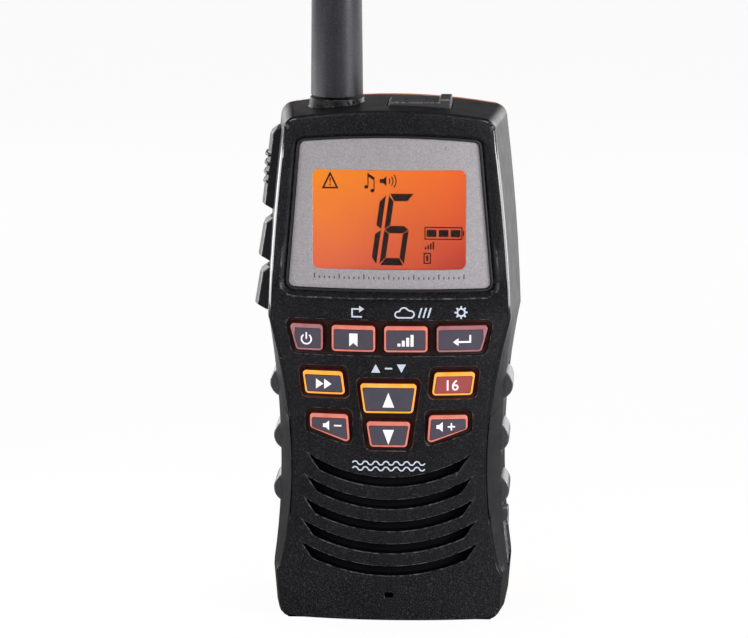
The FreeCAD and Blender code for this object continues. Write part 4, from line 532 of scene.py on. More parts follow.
def stand(bm, name, body, finishes, replaced=(), angle=52.0, even=True):
    """Writes the mesh to a new object, gives it its finishes and sets it on its body."""
    mesh = bpy.data.meshes.new(name)
    bm.to_mesh(mesh)
    bm.free()
    mesh.polygons.foreach_set("use_smooth", [True] * len(mesh.polygons))
    mesh.set_sharp_from_angle(angle=math.radians(angle))
    piece = bpy.data.objects.new(name, mesh)
    bpy.context.scene.collection.objects.link(piece)
    for finish in finishes:
        mesh.materials.append(FINISHES[finish])
    if even:
        normals = piece.modifiers.new("even shading", "WEIGHTED_NORMAL")
        normals.keep_sharp = True
    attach(piece, body)
    if replaced:
        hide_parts(*replaced)
    return piece


def soften(node, name, width, segments=2):
    """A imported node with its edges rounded."""
    bm = merged(node)
    round_edges(bm, sharp_edges(bm), width, segments)
    return stand(bm, name, NODES[node]["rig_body"], [SLOT_OF[node]], replaced=(node,))


class Sheet:
    """Flat shapes in the XZ plane, in mm, later laid on a surface as a thin print."""

    def __init__(self):
        self.bm = bmesh.new()

    def plate(self, *points):
        self.bm.faces.new([self.bm.verts.new((x, 0.0, z)) for x, z in points])

    def bar(self, left, right, low, high):
        self.plate((left, low), (right, low), (right, high), (left, high))

    def disc(self, x, z, radius, segments=24):
        place = Matrix.Translation((x, 0.0, z)) @ Matrix.Rotation(math.radians(90), 4, "X")
        bmesh.ops.create_circle(self.bm, cap_ends=True, radius=radius, segments=segments,
                                matrix=place)

    def arc(self, x, z, radius, start, sweep, width, steps=16):
        """A band of a ring from start, turned anticlockwise by sweep degrees."""
        turn = math.radians(start)
        ends = [self.bm.verts.new((x + r * math.cos(turn), 0.0, z + r * math.sin(turn)))
                for r in (radius - width / 2, radius + width / 2)]
        line = self.bm.edges.new(ends)
        bmesh.ops.spin(self.bm, geom=[line, *ends], cent=(x, 0.0, z), axis=(0.0, -1.0, 0.0),
                       angle=math.radians(sweep), steps=steps, use_merge=abs(sweep) >= 360)

    def ribbon(self, points, width, closed=False):
        """A line of even width along the points."""
        verts = [self.bm.verts.new((x, 0.0, z)) for x, z in points]
        pairs = list(zip(verts, verts[1:] + verts[:1]))[:None if closed else -1]
        sides = bmesh.ops.extrude_edge_only(self.bm, edges=[self.bm.edges.new(p) for p in pairs])
        twins = {tuple(v.co): v for v in vertices(sides["geom"])}
        line = [Vector((x, z, 0)) for x, z in points]
        steps = [(end - start).normalized() for start, end in zip(line, line[1:] + line[:1])]
        for index, vert in enumerate(verts):
            here = vert.co.copy()
            twin = twins[tuple(here)]
            ways = [steps[i] for i in (index - 1, index) if closed or 0 <= i < len(verts) - 1]
            middle = sum(ways, Vector((0, 0, 0))).normalized()
            across = Vector((-middle.y, middle.x))
            normal = Vector((-ways[0].y, ways[0].x))
            reach = width / 2 / max(0.35, across.dot(normal))
            vert.co = here + Vector((across.x, 0, across.y)) * reach
            twin.co = here - Vector((across.x, 0, across.y)) * reach

    def digits(self, text, x, z, height, slant=0.0, weight=0.0):
        """Plain numbers, centred on a point."""
        curve = bpy.data.curves.new("digits", "FONT")
        curve.body, curve.shear, curve.offset = text, slant, weight
        curve.align_x, curve.align_y = "CENTER", "CENTER"
        curve.size = height * 1.4
        holder = bpy.data.objects.new("digits", curve)
        bpy.context.scene.collection.objects.link(holder)
        bpy.context.view_layer.update()
        mesh = bpy.data.meshes.new_from_object(holder)
        bpy.data.objects.remove(holder)
        bpy.data.curves.remove(curve)
        extent = [v.co.y for v in mesh.vertices]
        grow = height / (max(extent) - min(extent))
        middle = (max(extent) + min(extent)) / 2
        across = [v.co.x for v in mesh.vertices]
        centre = (max(across) + min(across)) / 2
        for vert in mesh.vertices:
            vert.co = ((vert.co.x - centre) * grow + x, 0.0, (vert.co.y - middle) * grow + z)
        self.bm.from_mesh(mesh)
        bpy.data.meshes.remove(mesh)

    def thicken(self):
        """Gives the sheet a second side and returns the vertices of that side."""
        raised = bmesh.ops.extrude_face_region(self.bm, geom=self.bm.faces[:])
        return vertices(raised["geom"])

    def settle(self, name, body, finish):
        bmesh.ops.recalc_face_normals(self.bm, faces=self.bm.faces)
        bmesh.ops.scale(self.bm, vec=(MM, MM, MM), verts=self.bm.verts)
        stand(self.bm, name, body, [finish], angle=30.0, even=False)

    def lay_level(self, name, body, finish, top, foot):
        """Lays the sheet on a level face, with its Z as the part's Y."""
        bmesh.ops.remove_doubles(self.bm, verts=self.bm.verts, dist=SHEET_WELD)
        upper = self.thicken()
        for vert in self.bm.verts:
            vert.co = (vert.co.x, vert.co.z, top if vert in upper else foot)
        self.settle(name, body, finish)

    def lay(self, name, body, finish, surface, top, foot, step=0.8):
        """Lays the sheet on a surface, from foot to top, and sets it on a body."""
        bm = self.bm
        bmesh.ops.remove_doubles(bm, verts=bm.verts, dist=SHEET_WELD)
        low = min(v.co.x for v in bm.verts)
        high = max(v.co.x for v in bm.verts)
        cut = math.ceil(low / step) * step
        while cut < high:
            bmesh.ops.bisect_plane(bm, geom=bm.faces[:] + bm.edges[:] + bm.verts[:], dist=1e-4,
                                   plane_co=(cut, 0.0, 0.0), plane_no=(1.0, 0.0, 0.0))
            cut += step
        upper = self.thicken()
        for vert in bm.verts:
            vert.co.y = surface(vert.co.x, top if vert in upper else foot)
        self.settle(name, body, finish)


# Case

CASE_FINISHES = ["case_black", "pocket_painted_glow_red", "pocket_painted_glow_brown", "slot_painted_shade", "case_rim"]


def front_case():
    """Front shell: rounded front rim, chamfered panel opening, softened mouldings."""
    edges = bpy.context.scene.radio_edges
    bm = merged("front_shell")
    recut_front(bm)
    opening = [e for e in sharp_edges(bm) if edge_class(e) == "opening"]
    round_edges(bm, opening, edges.opening, 1, CHAMFER_WEAR_AND_HIGHLIGHT)
    width = {"rim": edges.rim, "other": edges.moulding}
    kinds = {edge: edge_class(edge) for edge in sharp_edges(bm)}
    bm = round_by_width(bm, {e: width[kind] for e, kind in kinds.items() if kind in width}, 3)
    crown_front(bm)
    for vert in bm.verts:
        vert.co.z = max(vert.co.z, 0.0)
    paint_pocket_glow(bm)
    finish_slots_and_rim(bm)
    stand(bm, "front_case", "body", CASE_FINISHES, replaced=("front_shell",))


def on_front(face, reach):
    """Whether a face is part of the crowned front, within a reach in mm."""
    if face.normal.y > FRONT_FACING:
        return False
    return all(abs(below_crown(v.co.x / MM, v.co.y / MM)) < reach for v in face.verts)


def cut_front(bm, axis, places, keep):
    """Cuts the front faces that keep() picks by level or upright planes, in mm."""
    for place in places:
        faces = [f for f in bm.faces if on_front(f, ON_CROWN) and keep(f.calc_center_median() / MM)]
        cut_faces(bm, faces, axis, place * MM)


def edge_middle(edge):
    return (edge.verts[0].co + edge.verts[1].co) / 2 / MM


def recut_front(bm):
    """Recuts the front's outer band so that its edges meet the rim squarely."""
    old = bm.edges.layers.int.new("old")
    for edge in bm.edges:
        if len(edge.link_faces) == 2 and all(on_front(f, ON_CROWN) for f in edge.link_faces):
            edge[old] = 1
    cut_front(bm, Z, (FOOT_BAND, HEAD_BAND), lambda m: True)
    cut_front(bm, X, (-SIDE_BAND, SIDE_BAND), lambda m: FOOT_BAND < m.z < HEAD_BAND)
    cut_front(bm, Z, SIDE_CUTS,
              lambda m: abs(m.x) > SIDE_BAND and FOOT_BAND < m.z < HEAD_BAND)
    cut_front(bm, Z, HEAD_CUTS, lambda m: m.z > HEAD_BAND)
    cut_front(bm, X, TOP_CUTS, lambda m: m.z > TOP_STRIP)
    cut_front(bm, X, FOOT_CUTS, lambda m: m.z < FOOT_BAND)
    spare = []
    for edge in bm.edges:
        middle = edge_middle(edge)
        inside = abs(middle.x) < SIDE_BAND and FOOT_BAND < middle.z < HEAD_BAND
        if edge[old] and not inside and len(edge.link_faces) == 2:
            spare.append(edge)
    bmesh.ops.dissolve_edges(bm, edges=spare, use_verts=False, use_face_split=False)
    left = []
    for vert in bm.verts:
        faces = {f for e in vert.link_edges for f in e.link_faces}
        if len(vert.link_edges) == 2 and all(on_front(f, ON_CROWN) for f in faces):
            left.append(vert)
    bmesh.ops.dissolve_verts(bm, verts=left)


def crown_front(bm):
    """Cuts the front into upright strips and lays them on the crown again."""
    worn_and_lit = bm.faces.layers.float["wear_and_highlight"]
    for place in CROWN_CUTS:
        faces = [f for f in bm.faces if not f[worn_and_lit] and on_front(f, NEAR_CROWN)]
        cut_faces(bm, faces, X, place * MM)
    for face in bm.faces:
        if not face[worn_and_lit] and on_front(face, NEAR_CROWN):
            for vert in face.verts:
                vert.co.y = crown(vert.co.x / MM) * MM


def paint_pocket_glow(bm):
    """Paints the glow of the front keys onto their pockets in the case, as emission."""
    red, brown = CASE_FINISHES.index("pocket_painted_glow_red"), CASE_FINISHES.index("pocket_painted_glow_brown")
    spans = []
    for node in FRONT_KEYS:
        low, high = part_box(node)
        spans.append((low.x / MM - POCKET_REACH, high.x / MM + POCKET_REACH,
                      low.z / MM - POCKET_REACH, high.z / MM + POCKET_REACH,
                      brown if RIM_FINISH[node] == "rim_amber" else red))
    for face in bm.faces:
        middle = face.calc_center_median() / MM
        depth = below_crown(middle.x, middle.y)
        ledge = depth < POCKET_FLOOR and face.normal.y < LEDGE_FACING
        if ledge or not POCKET_TOP < depth < POCKET_END:
            continue
        for left, right, low, high, glow in spans:
            if left < middle.x < right and low < middle.z < high:
                if depth > POCKET_FLOOR:
                    face.material_index = red
                elif glow == brown or depth > POCKET_GLOW:
                    face.material_index = glow


def finish_slots_and_rim(bm):
    """Paints shade deep in the speaker slots and the microphone hole and gives the front rim its
    gloss.
    """
    worn_and_lit = bm.faces.layers.float["wear_and_highlight"]
    for face in bm.faces:
        middle = face.calc_center_median() / MM
        depth = below_crown(middle.x, middle.y)
        broad = abs(face[worn_and_lit] - BROAD_WEAR_AND_HIGHLIGHT) < 0.01
        if abs(middle.x) < KEYPAD_SIDE and middle.z < SLOT_TOP and depth > SLOT_DEPTH:
            face.material_index = CASE_FINISHES.index("slot_painted_shade")
        elif broad and abs(middle.x) > KEYPAD_SIDE and depth < RIM_DEPTH:
            face.material_index = CASE_FINISHES.index("case_rim")


def edge_class(edge):
    """Which rounding a sharp edge of the front shell gets."""
    middle = edge_middle(edge)
    walls = [f.normal for f in edge.link_faces if f.normal.y > WALL_FACING]
    below = below_crown(middle.x, middle.y)
    in_head = PANEL_FOOT < middle.z < PANEL_HEAD and abs(middle.x) < PANEL_SIDE
    if in_head and below < PANEL_DEPTH and len(walls) < 2:
        return "opening"
    if len(walls) != 1 or abs(below) > RIM_LEVEL:
        return "other"
    wall = walls[0]
    outward = 0.3           # how much a wall of the rim faces away from the middle
    side = abs(middle.x) > KEYPAD_SIDE and wall.x * middle.x > outward * abs(middle.x)
    head = middle.z > RIM_HEAD and wall.z > outward
    foot = middle.z < RIM_FOOT and wall.z < -outward
    return "rim" if side or head or foot else "other"


class RADIO_OT_case(bpy.types.Operator):
    """Builds the front and rear shells of the case"""
    bl_idname = "marine_radio.case"
    bl_label = "Case"

    def execute(self, context):
        front_case()
        soften("rear_shell", "rear_case", context.scene.radio_edges.moulding)
        return {"FINISHED"}


class RADIO_OT_display(bpy.types.Operator):
    """Builds the silver panel, its bead, the window and the marks of the display"""
    bl_idname = "marine_radio.display"
    bl_label = "Display"

    def execute(self, context):
        metal = context.scene.radio_edges.metal
        soften("silver_panel", "display_panel", metal)
        soften("lens_seal", "panel_bead", metal)
        soften("window_lens", "display_window", metal * 0.5)
        display_marks()
        return {"FINISHED"}


def segment(sheet, corner_x, corner_z, names, width):
    """Parts of one seven-segment digit; corner is its lower left corner."""
    height, slant = 17.5, 0.14
    thick, slim, gap = 1.8, 1.3, 0.16       # level parts, upright parts and what is between them
    half = height / 2
    lines = {
        "a": [(0.2, height), (width - 0.1, height), (width - slim, height - thick),
              (slim + 0.1, height - thick)],
        "d": [(0.2, 0), (slim, thick), (width - slim, thick), (width - 0.2, 0)],
        "g": [(0.1, half), (slim, half + thick / 2), (width - slim, half + thick / 2),
              (width - 0.1, half), (width - slim, half - thick / 2), (slim, half - thick / 2)],
        "f": [(0, height - 0.4), (slim, height - thick - gap), (slim, half + thick / 2 + gap),
              (0, half + gap)],
        "e": [(0, half - gap), (slim, half - thick / 2 - gap), (slim, thick + gap), (0, 0.3)],
        "b": [(width, height - 0.4), (width, half + gap), (width - slim, half + thick / 2 + gap),
              (width - slim, height - thick - gap)],
        "c": [(width, half - gap), (width, 0.3), (width - slim, thick + gap),
              (width - slim, half - thick / 2 - gap)],
    }
    for name in names:
        sheet.plate(*[(corner_x + x + slant * z, corner_z + z) for x, z in lines[name]])


def draw_warning(sheet):
    sheet.ribbon([(-15.9, 106.75), (-12.5, 106.75), (-14.2, 110.25)], 0.42, closed=True)
    sheet.plate((-14.38, 109.15), (-14.28, 107.95), (-14.12, 107.95), (-14.02, 109.15))
    sheet.disc(-14.2, 107.5, 0.2, 12)


def draw_note(sheet):
    sheet.disc(-5.55, 107.0, 0.46, 16)
    sheet.disc(-4.1, 106.1, 0.46, 16)
    sheet.plate((-5.25, 107.0), (-5.0, 107.0), (-5.0, 110.4), (-5.25, 110.4))
    sheet.plate((-3.8, 106.1), (-3.55, 106.1), (-3.55, 109.3), (-3.8, 109.3))
    sheet.plate((-5.25, 110.4), (-5.25, 109.6), (-3.55, 108.5), (-3.55, 109.3))


def draw_sound(sheet):
    sheet.plate((-2.3, 107.95), (-1.5, 107.95), (-0.7, 107.25), (-0.7, 109.65), (-1.5, 108.95),
                (-2.3, 108.95))
    for index in range(3):
        sheet.arc(-0.9, 108.45, 1.0 + 0.75 * index, -38.0, 76.0, 0.26, 10)


def draw_battery(sheet):
    sheet.ribbon([(8.55, 94.4), (17.4, 94.4), (17.4, 97.25), (8.55, 97.25)], 0.27, closed=True)
    for left in (8.95, 11.85, 14.7):
        sheet.bar(left, left + 2.35, 94.95, 96.7)
    sheet.bar(17.6, 17.9, 95.2, 96.5)


def draw_signal(sheet):
    """Bars of the signal and the small frame under them."""
    for index in range(4):
        sheet.bar(8.5 + 0.62 * index, 8.9 + 0.62 * index, 91.9, 92.5 + 0.42 * index)
    sheet.ribbon([(8.35, 88.5), (9.85, 88.5), (9.85, 90.9), (8.35, 90.9)], 0.3, closed=True)
    sheet.bar(8.85, 9.35, 89.0, 90.4)


def display_marks():
    """Warning sign, note, sound waves, channel number, battery and signal of the display."""
    sheet = Sheet()
    draw_warning(sheet)
    draw_note(sheet)
    draw_sound(sheet)
    segment(sheet, -8.8, 87.9, "bc", 5.6)
    segment(sheet, -2.45, 87.9, "acdefg", 5.9)
    draw_battery(sheet)
    draw_signal(sheet)
    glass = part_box("lcd_glass")[0].y / MM
    sheet.lay("display_marks", "body", "segment_ink", lambda x, depth: glass + depth,
              top=-0.05, foot=-0.01, step=100.0)


# Front keys

RIM_FINISH = {"power_key": "rim_rose", "memory_key": "rim_salmon", "level_key": "rim_salmon",
              "enter_key": "rim_rose", "scan_key": "rim_amber", "priority_key": "rim_amber",
              "channel_up_key": "rim_amber", "channel_down_key": "rim_salmon",
              "volume_down_key": "rim_salmon", "volume_up_key": "rim_salmon"}

KEY_LEAN = {"volume_down_key": 0.55, "volume_up_key": -0.55}    # mm that the inner foot leans
FACE, RIM, LINE, WALL = range(4)        # places of a key's finishes
KEY_TOP = -18.2 * MM        # the flat top of a front key is in front of this Y, in m
KEY_LIT = -18.0 * MM        # and its lit part in front of this
FLAT = -0.97                # a face with a lower normal Y is flat on the front
LIT = -0.25                 # and one with a lower one than this catches the key's light
KEY_STRIP = 0.9 * MM        # about how wide the strips of the crowned top are
KEY_WELD = 0.03 * MM        # corners of the top nearer than this are one


def lean_foot(bm, node):
    """Leans the inner foot of a volume key."""
    low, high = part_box(node)
    for vert in bm.verts:
        inner = max(0.0, 1.0 - abs(vert.co.x) / max(abs(low.x), abs(high.x)))
        vert.co.x += KEY_LEAN[node] * MM * 2 * inner * (high.z - vert.co.z) / (high.z - low.z)


def front_key(node):
    """A key cap: dim walls, rounded edge, lit rim, dark line and printed face."""
    keys = bpy.context.scene.radio_keys
    bm = merged(node)
    if node in KEY_LEAN:
        lean_foot(bm, node)
    round_edges(bm, sharp_edges(bm), keys.edge)
    front = [f for f in bm.faces if f.normal.y < FLAT and f.calc_center_median().y < KEY_TOP]
    for part in bm.faces:
        lit = part.normal.y < LIT and part.calc_center_median().y < KEY_LIT
        part.material_index = RIM if lit else WALL
    face = bmesh.ops.dissolve_faces(bm, faces=front, use_verts=False)["region"]
    corners = {v for f in face for v in f.verts}
    bmesh.ops.remove_doubles(bm, verts=list(corners), dist=KEY_WELD)
    top = max((f for f in bm.faces if f.normal.y < FLAT), key=lambda f: f.calc_area())
    bmesh.ops.inset_region(bm, faces=[top], thickness=keys.rim, use_even_offset=True,
                           use_boundary=True)
    low = min(v.co.z for v in top.verts)
    high = max(v.co.z for v in top.verts)
    for vert in top.verts:
        vert.co.z = low + (vert.co.z - low) * (high - low - keys.head) / (high - low)
    ring = bmesh.ops.inset_region(bm, faces=[top], thickness=keys.line, use_even_offset=True,
                                  use_boundary=True)["faces"]
    for part in ring:
        part.material_index = LINE
    top.material_index = FACE
    crown_key(bm, top)
    stand(bm, node + "_cap_piece", NODES[node]["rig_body"],
          [SLOT_OF[node], RIM_FINISH[node], "line_red", "key_wall"], replaced=(node,))


def crown_key(bm, top):
    """Cuts the printed face into upright strips and lays them on the crown."""
    left = min(v.co.x for v in top.verts)
    right = max(v.co.x for v in top.verts)
    strips = max(2, round((right - left) / KEY_STRIP))
    for index in range(1, strips):
        faces = [f for f in bm.faces if f.material_index == FACE]
        cut_faces(bm, faces, X, left + (right - left) * index / strips)
    for vert in {v for f in bm.faces if f.material_index == FACE for v in f.verts}:
        vert.co.y = crown(vert.co.x / MM, KEY_FACE) * MM


def face_middle(node):
    """Middle of a key's printed face, in mm."""
    low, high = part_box(node)
    return (low.x + high.x) / 2 / MM, (low.z + high.z) / 2 / MM - FACE_DROP


def key_mark(node, draw):
    x, z = face_middle(node)
    sheet = Sheet()
    draw(sheet, x, z)
    sheet.lay(node + "_mark", NODES[node]["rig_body"], "key_ink", crown, top=KEY_INK,
              foot=KEY_FACE + 0.01)


def draw_power(sheet, x, z):
    sheet.arc(x, z - 0.15, 1.2, 125.0, 290.0, 0.36, 24)
    sheet.bar(x - 0.18, x + 0.18, z - 0.1, z + 1.5)


def draw_memory(sheet, x, z):
    sheet.plate((x - 1.0, z - 1.6), (x, z - 0.7), (x, z + 1.6), (x - 1.0, z + 1.6))
    sheet.plate((x, z - 0.7), (x + 1.0, z - 1.6), (x + 1.0, z + 1.6), (x, z + 1.6))


def draw_level(sheet, x, z):
    for index in range(4):
        left = x - 2.0 + 1.05 * index
        sheet.bar(left, left + 0.7, z - 1.4, z - 0.7 + 0.72 * index)


def draw_enter(sheet, x, z):
    sheet.ribbon([(x + 1.9, z + 1.3), (x + 1.9, z - 0.4), (x - 1.0, z - 0.4)], 0.42)
    sheet.plate((x - 0.9, z - 1.35), (x - 0.9, z + 0.55), (x - 2.2, z - 0.4))


def draw_scan(sheet, x, z):
    for left in (x - 1.9, x + 0.1):
        sheet.plate((left, z - 1.25), (left + 1.8, z), (left, z + 1.25))


def draw_priority(sheet, x, z):
    sheet.digits("16", x - 0.2, z, 2.6, weight=0.025)


def draw_up(sheet, x, z):
    sheet.plate((x - 1.4, z - 1.85), (x + 1.4, z - 1.85), (x, z + 1.8))


def draw_down(sheet, x, z):
    sheet.plate((x - 1.35, z + 1.5), (x, z - 2.2), (x + 1.35, z + 1.5))


def draw_speaker(sheet, x, z):
    sheet.plate((x - 1.1, z - 0.45), (x - 0.5, z - 0.45), (x + 0.4, z - 1.2), (x + 0.4, z + 1.2),
                (x - 0.5, z + 0.45), (x - 1.1, z + 0.45))


def draw_quieter(sheet, x, z):
    x, z = x + 0.9, z + 0.85
    draw_speaker(sheet, x - 1.2, z)
    sheet.bar(x + 0.4, x + 2.2, z - 0.18, z + 0.18)


def draw_louder(sheet, x, z):
    x, z = x - 0.6, z + 0.85
    draw_speaker(sheet, x - 1.2, z)
    sheet.bar(x + 0.4, x + 2.2, z - 0.18, z + 0.18)
    sheet.bar(x + 1.12, x + 1.48, z - 0.9, z - 0.18)
    sheet.bar(x + 1.12, x + 1.48, z + 0.18, z + 0.9)


KEY_MARKS = {"power_key": draw_power, "memory_key": draw_memory, "level_key": draw_level,
             "enter_key": draw_enter, "scan_key": draw_scan, "priority_key": draw_priority,
             "channel_up_key": draw_up, "channel_down_key": draw_down,
             "volume_down_key": draw_quieter, "volume_up_key": draw_louder}


class RADIO_OT_front_keys(bpy.types.Operator):
    """Builds the ten lit keys of the keypad and the marks on them"""
    bl_idname = "marine_radio.front_keys"
    bl_label = "Front keys"

    def execute(self, context):
        for node in FRONT_KEYS:
            front_key(node)
            key_mark(node, KEY_MARKS[node])
        return {"FINISHED"}


def draw_turn(sheet):
    """Arrow that turns to the right."""
    sheet.ribbon([(-6.4, 75.9), (-8.8, 75.9), (-8.8, 77.8), (-6.9, 77.8)], 0.38)
    sheet.plate((-7.1, 76.95), (-7.1, 78.65), (-5.9, 77.8))


def draw_weather(sheet):
    """Cloud with three slanting strokes beside it."""
    cloud = []
    for x, z, radius, start, end in ((2.3, 76.55, 0.75, 270, 110), (3.7, 77.2, 1.05, 170, 30),
                                     (5.3, 76.65, 0.85, 100, -90)):
        for turn in range(9):
            angle = math.radians(start + (end - start) * turn / 8)
            cloud.append((x + radius * math.cos(angle), z + radius * math.sin(angle)))
    sheet.ribbon(cloud, 0.36, closed=True)
    for x in (7.4, 8.5, 9.6):
        sheet.plate((x - 0.35, 75.8), (x + 0.05, 75.8), (x + 0.75, 78.2), (x + 0.35, 78.2))


def draw_gear(sheet):
    x, z, teeth = 17.4, 77.0, 8
    sheet.arc(x, z, 0.9, 0.0, 360.0, 0.4, 24)
    for turn in range(teeth):
        angle = math.radians(360 / teeth * turn)
        sheet.ribbon([(x + r * math.cos(angle), z + r * math.sin(angle)) for r in (1.1, 1.55)], 0.4)


def draw_channel(sheet):
    """Up, dash and down between the front keys."""
    sheet.plate((-4.2, 62.2), (-2.0, 62.2), (-3.1, 64.3))
    sheet.bar(-0.9, 0.9, 63.05, 63.45)
    sheet.plate((2.0, 64.3), (3.1, 62.2), (4.2, 64.3))


def draw_waves(sheet):
    """Two rows of seven waves."""
    for row in (38.1, 39.5):
        for index in range(7):
            x = -7.5 + 2.5 * index
            sheet.arc(x - 0.625, row, 0.66, 20.0, 140.0, 0.32, 8)
            sheet.arc(x + 0.625, row + 0.45, 0.66, 200.0, 140.0, 0.32, 8)


def draw_scale(sheet):
    """Plain scale of 31 strokes, each fifth one longer."""
    for index in range(31):
        x = -18.0 + 1.2 * index
        sheet.bar(x - 0.12, x + 0.12, 84.9, 86.1 if index % 5 == 0 else 85.5)


class RADIO_OT_legends(bpy.types.Operator):
    """Prints the small marks on the case and the panel"""
    bl_idname = "marine_radio.legends"
    bl_label = "Legends"

    def execute(self, context):
        marks = Sheet()
        for draw in (draw_turn, draw_weather, draw_gear, draw_channel, draw_waves):
            draw(marks)
        marks.lay("case_legends", "body", "legend_ink", crown, top=-0.012, foot=0.01)
        scale = Sheet()
        draw_scale(scale)
        scale.lay("panel_scale", "body", "panel_ink", crown, top=1.19, foot=1.205)
        return {"FINISHED"}


# Side keys, grips, antenna, covers, clip and door

SIDE_KEY_ROUND = 0.7        # a side key is rounded by this share of the other rubber parts


def side_key(node, edges):
    """A side key whose front slopes back from its outer face."""
    bm = merged(node)
    bmesh.ops.bisect_plane(bm, geom=bm.verts[:] + bm.edges[:] + bm.faces[:], dist=1e-6,
                           plane_co=(0, edges.side_start, 0), plane_no=(0, 1, 0))
    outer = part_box(node)[0].x + edges.side_reach
    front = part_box(node)[0].y
    for vert in bm.verts:
        if vert.co.x < outer and vert.co.y < edges.side_start:
            share = (edges.side_start - vert.co.y) / (edges.side_start - front)
            vert.co.x += edges.side_slope * share
    round_edges(bm, sharp_edges(bm), edges.rubber * SIDE_KEY_ROUND)
    stand(bm, node + "_pad", NODES[node]["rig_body"], [SLOT_OF[node]], replaced=(node,))


class RADIO_OT_side_keys(bpy.types.Operator):
    """Builds the talk key and the two small side keys"""
    bl_idname = "marine_radio.side_keys"
    bl_label = "Side keys"

    def execute(self, context):
        for node in ("talk_key", "upper_side_key", "lower_side_key"):
            side_key(node, context.scene.radio_edges)
        return {"FINISHED"}


class RADIO_OT_grips(bpy.types.Operator):
    """Builds the glossy grip inserts at both sides"""
    bl_idname = "marine_radio.grips"
    bl_label = "Grip inserts"

    def execute(self, context):
        soften("grip_inserts", "grip_pads", context.scene.radio_edges.rubber, 3)
        return {"FINISHED"}


class RADIO_OT_antenna(bpy.types.Operator):
    """Builds the rubber sheath of the antenna"""
    bl_idname = "marine_radio.antenna"
    bl_label = "Antenna"

    def execute(self, context):
        soften("antenna_sheath", "antenna_sleeve", context.scene.radio_edges.moulding)
        return {"FINISHED"}


def jack_mark():
    """Two arcs on the lid of the top jack."""
    tab_rise = 0.7          # the pull tab stands this much higher than the lid, in mm
    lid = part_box("jack_cover")[1].z / MM - tab_rise
    sheet = Sheet()
    for x, start in ((4.6, 120.0), (7.4, -60.0)):
        sheet.arc(x, -5.9, 1.3, start, 120.0, 0.28, 10)
    sheet.lay_level("jack_lid_mark", "jack_flap", "cover_mark", top=lid + 0.02, foot=lid - 0.1)


class RADIO_OT_covers(bpy.types.Operator):
    """Builds the rubber covers of the jacks"""
    bl_idname = "marine_radio.covers"
    bl_label = "Rubber covers"

    def execute(self, context):
        rubber = context.scene.radio_edges.rubber
        soften("jack_cover", "jack_lid", rubber, 3)
        jack_mark()
        soften("charge_cover", "charge_lid", rubber, 3)
        return {"FINISHED"}


class RADIO_OT_clip(bpy.types.Operator):
    """Builds the belt clip, its bracket and its pin"""
    bl_idname = "marine_radio.clip"
    bl_label = "Belt clip"

    def execute(self, context):
        edges = context.scene.radio_edges
        soften("belt_clip", "clip_lever", edges.rubber, 3)
        soften("clip_bracket", "clip_holder", edges.moulding)
        soften("clip_pin", "clip_pivot", edges.metal)
        return {"FINISHED"}


class RADIO_OT_door(bpy.types.Operator):
    """Builds the battery door, its latch and its hinge pin"""
    bl_idname = "marine_radio.door"
    bl_label = "Battery door"

    def execute(self, context):
        edges = context.scene.radio_edges
        soften("battery_door", "door_panel", edges.rubber)
        soften("door_latch", "latch_slide", edges.moulding)
        soften("door_hinge_pin", "door_pivot", edges.metal)
        return {"FINISHED"}


BRASS_IN_GAP_SHADE = ("antenna_bushing", "antenna_stud")     # brass, given the near-black bushing finish as painted shade of the gap in which they show


class RADIO_OT_inside(bpy.types.Operator):
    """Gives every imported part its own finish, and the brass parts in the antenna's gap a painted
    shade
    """
    bl_idname = "marine_radio.inside"
    bl_label = "Inner parts"

    def execute(self, context):
        for name, node in NODES.items():
            for holder in node.material_slots:
                holder.material = FINISHES["bushing_blackened" if name in BRASS_IN_GAP_SHADE
                                           else SLOT_OF[name]]
        return {"FINISHED"}


# Stage

MIDDLE = (0.0, 0.0, 0.08)       # what the lamps are aimed at, in m
LAMPS = (                       # name, place and size in m, setting of the power, share of it
    ("key_lamp", (0.58, -0.72, 0.32), (0.5, 0.6), "key_light", 1.0),
    ("fill_lamp", (-0.55, -0.75, 0.5), (0.6, 0.6), "fill_light", 1.0),
    ("right_lamp", (0.75, -0.42, 0.2), (0.35, 0.4), "side_light", 1.0),
    ("right_low_strip", (0.15, 0.0, 0.08), (0.2, 0.05), "low_light", 0.7),
    ("left_low_strip", (-0.15, 0.0, 0.08), (0.2, 0.05), "low_light", 1.0),
    ("back_right_lamp", (0.42, 0.5, 0.24), (0.45, 0.3), "back_light", 1.0),
    ("back_left_lamp", (-0.42, 0.5, 0.24), (0.45, 0.3), "back_light", 0.8),
)
CAMERA_PLACE = (0.0527, -0.9919, 0.2852)
CAMERA_TARGET = (0.0, -0.018, 0.0644)
CAMERA_SHIFT = (-0.0199, 0.0583)
LENS, SENSOR = 199.5, 36.0      # in mm


def aim(name, data, place, target):
    """A lamp or camera that stands at a place and faces a target."""
    holder = bpy.data.objects.new(name, data)
    holder.location = place
    way = Vector(target) - holder.location
    holder.rotation_euler = way.to_track_quat("-Z", "Y").to_euler()
    bpy.context.scene.collection.objects.link(holder)
    return holder


def lamp(name, place, size, power):
    light = bpy.data.lights.new(name, "AREA")
    light.shape = "RECTANGLE"
    light.size, light.size_y = size
    light.energy = power
    aim(name, light, place, MIDDLE).visible_camera = False


def easing(tree, value, low, high, to_low, to_high):
    """A soft step from one level to another; a level may be a number or another output."""
    made = tree.nodes.new("ShaderNodeMapRange")
    made.interpolation_type = "SMOOTHSTEP"
    for name, level in (("Value", value), ("From Min", low), ("From Max", high),
                        ("To Min", to_low), ("To Max", to_high)):
        feed(tree, made.inputs[name], level)
    return made.outputs["Result"]


def axis_of(tree, coordinates, axis):
    """One axis of a kind of coordinates."""
    place = tree.nodes.new("ShaderNodeTexCoord").outputs[coordinates]
    axes = tree.nodes.new("ShaderNodeSeparateXYZ")
    tree.links.new(place, axes.inputs[0])
    return axes.outputs[axis]


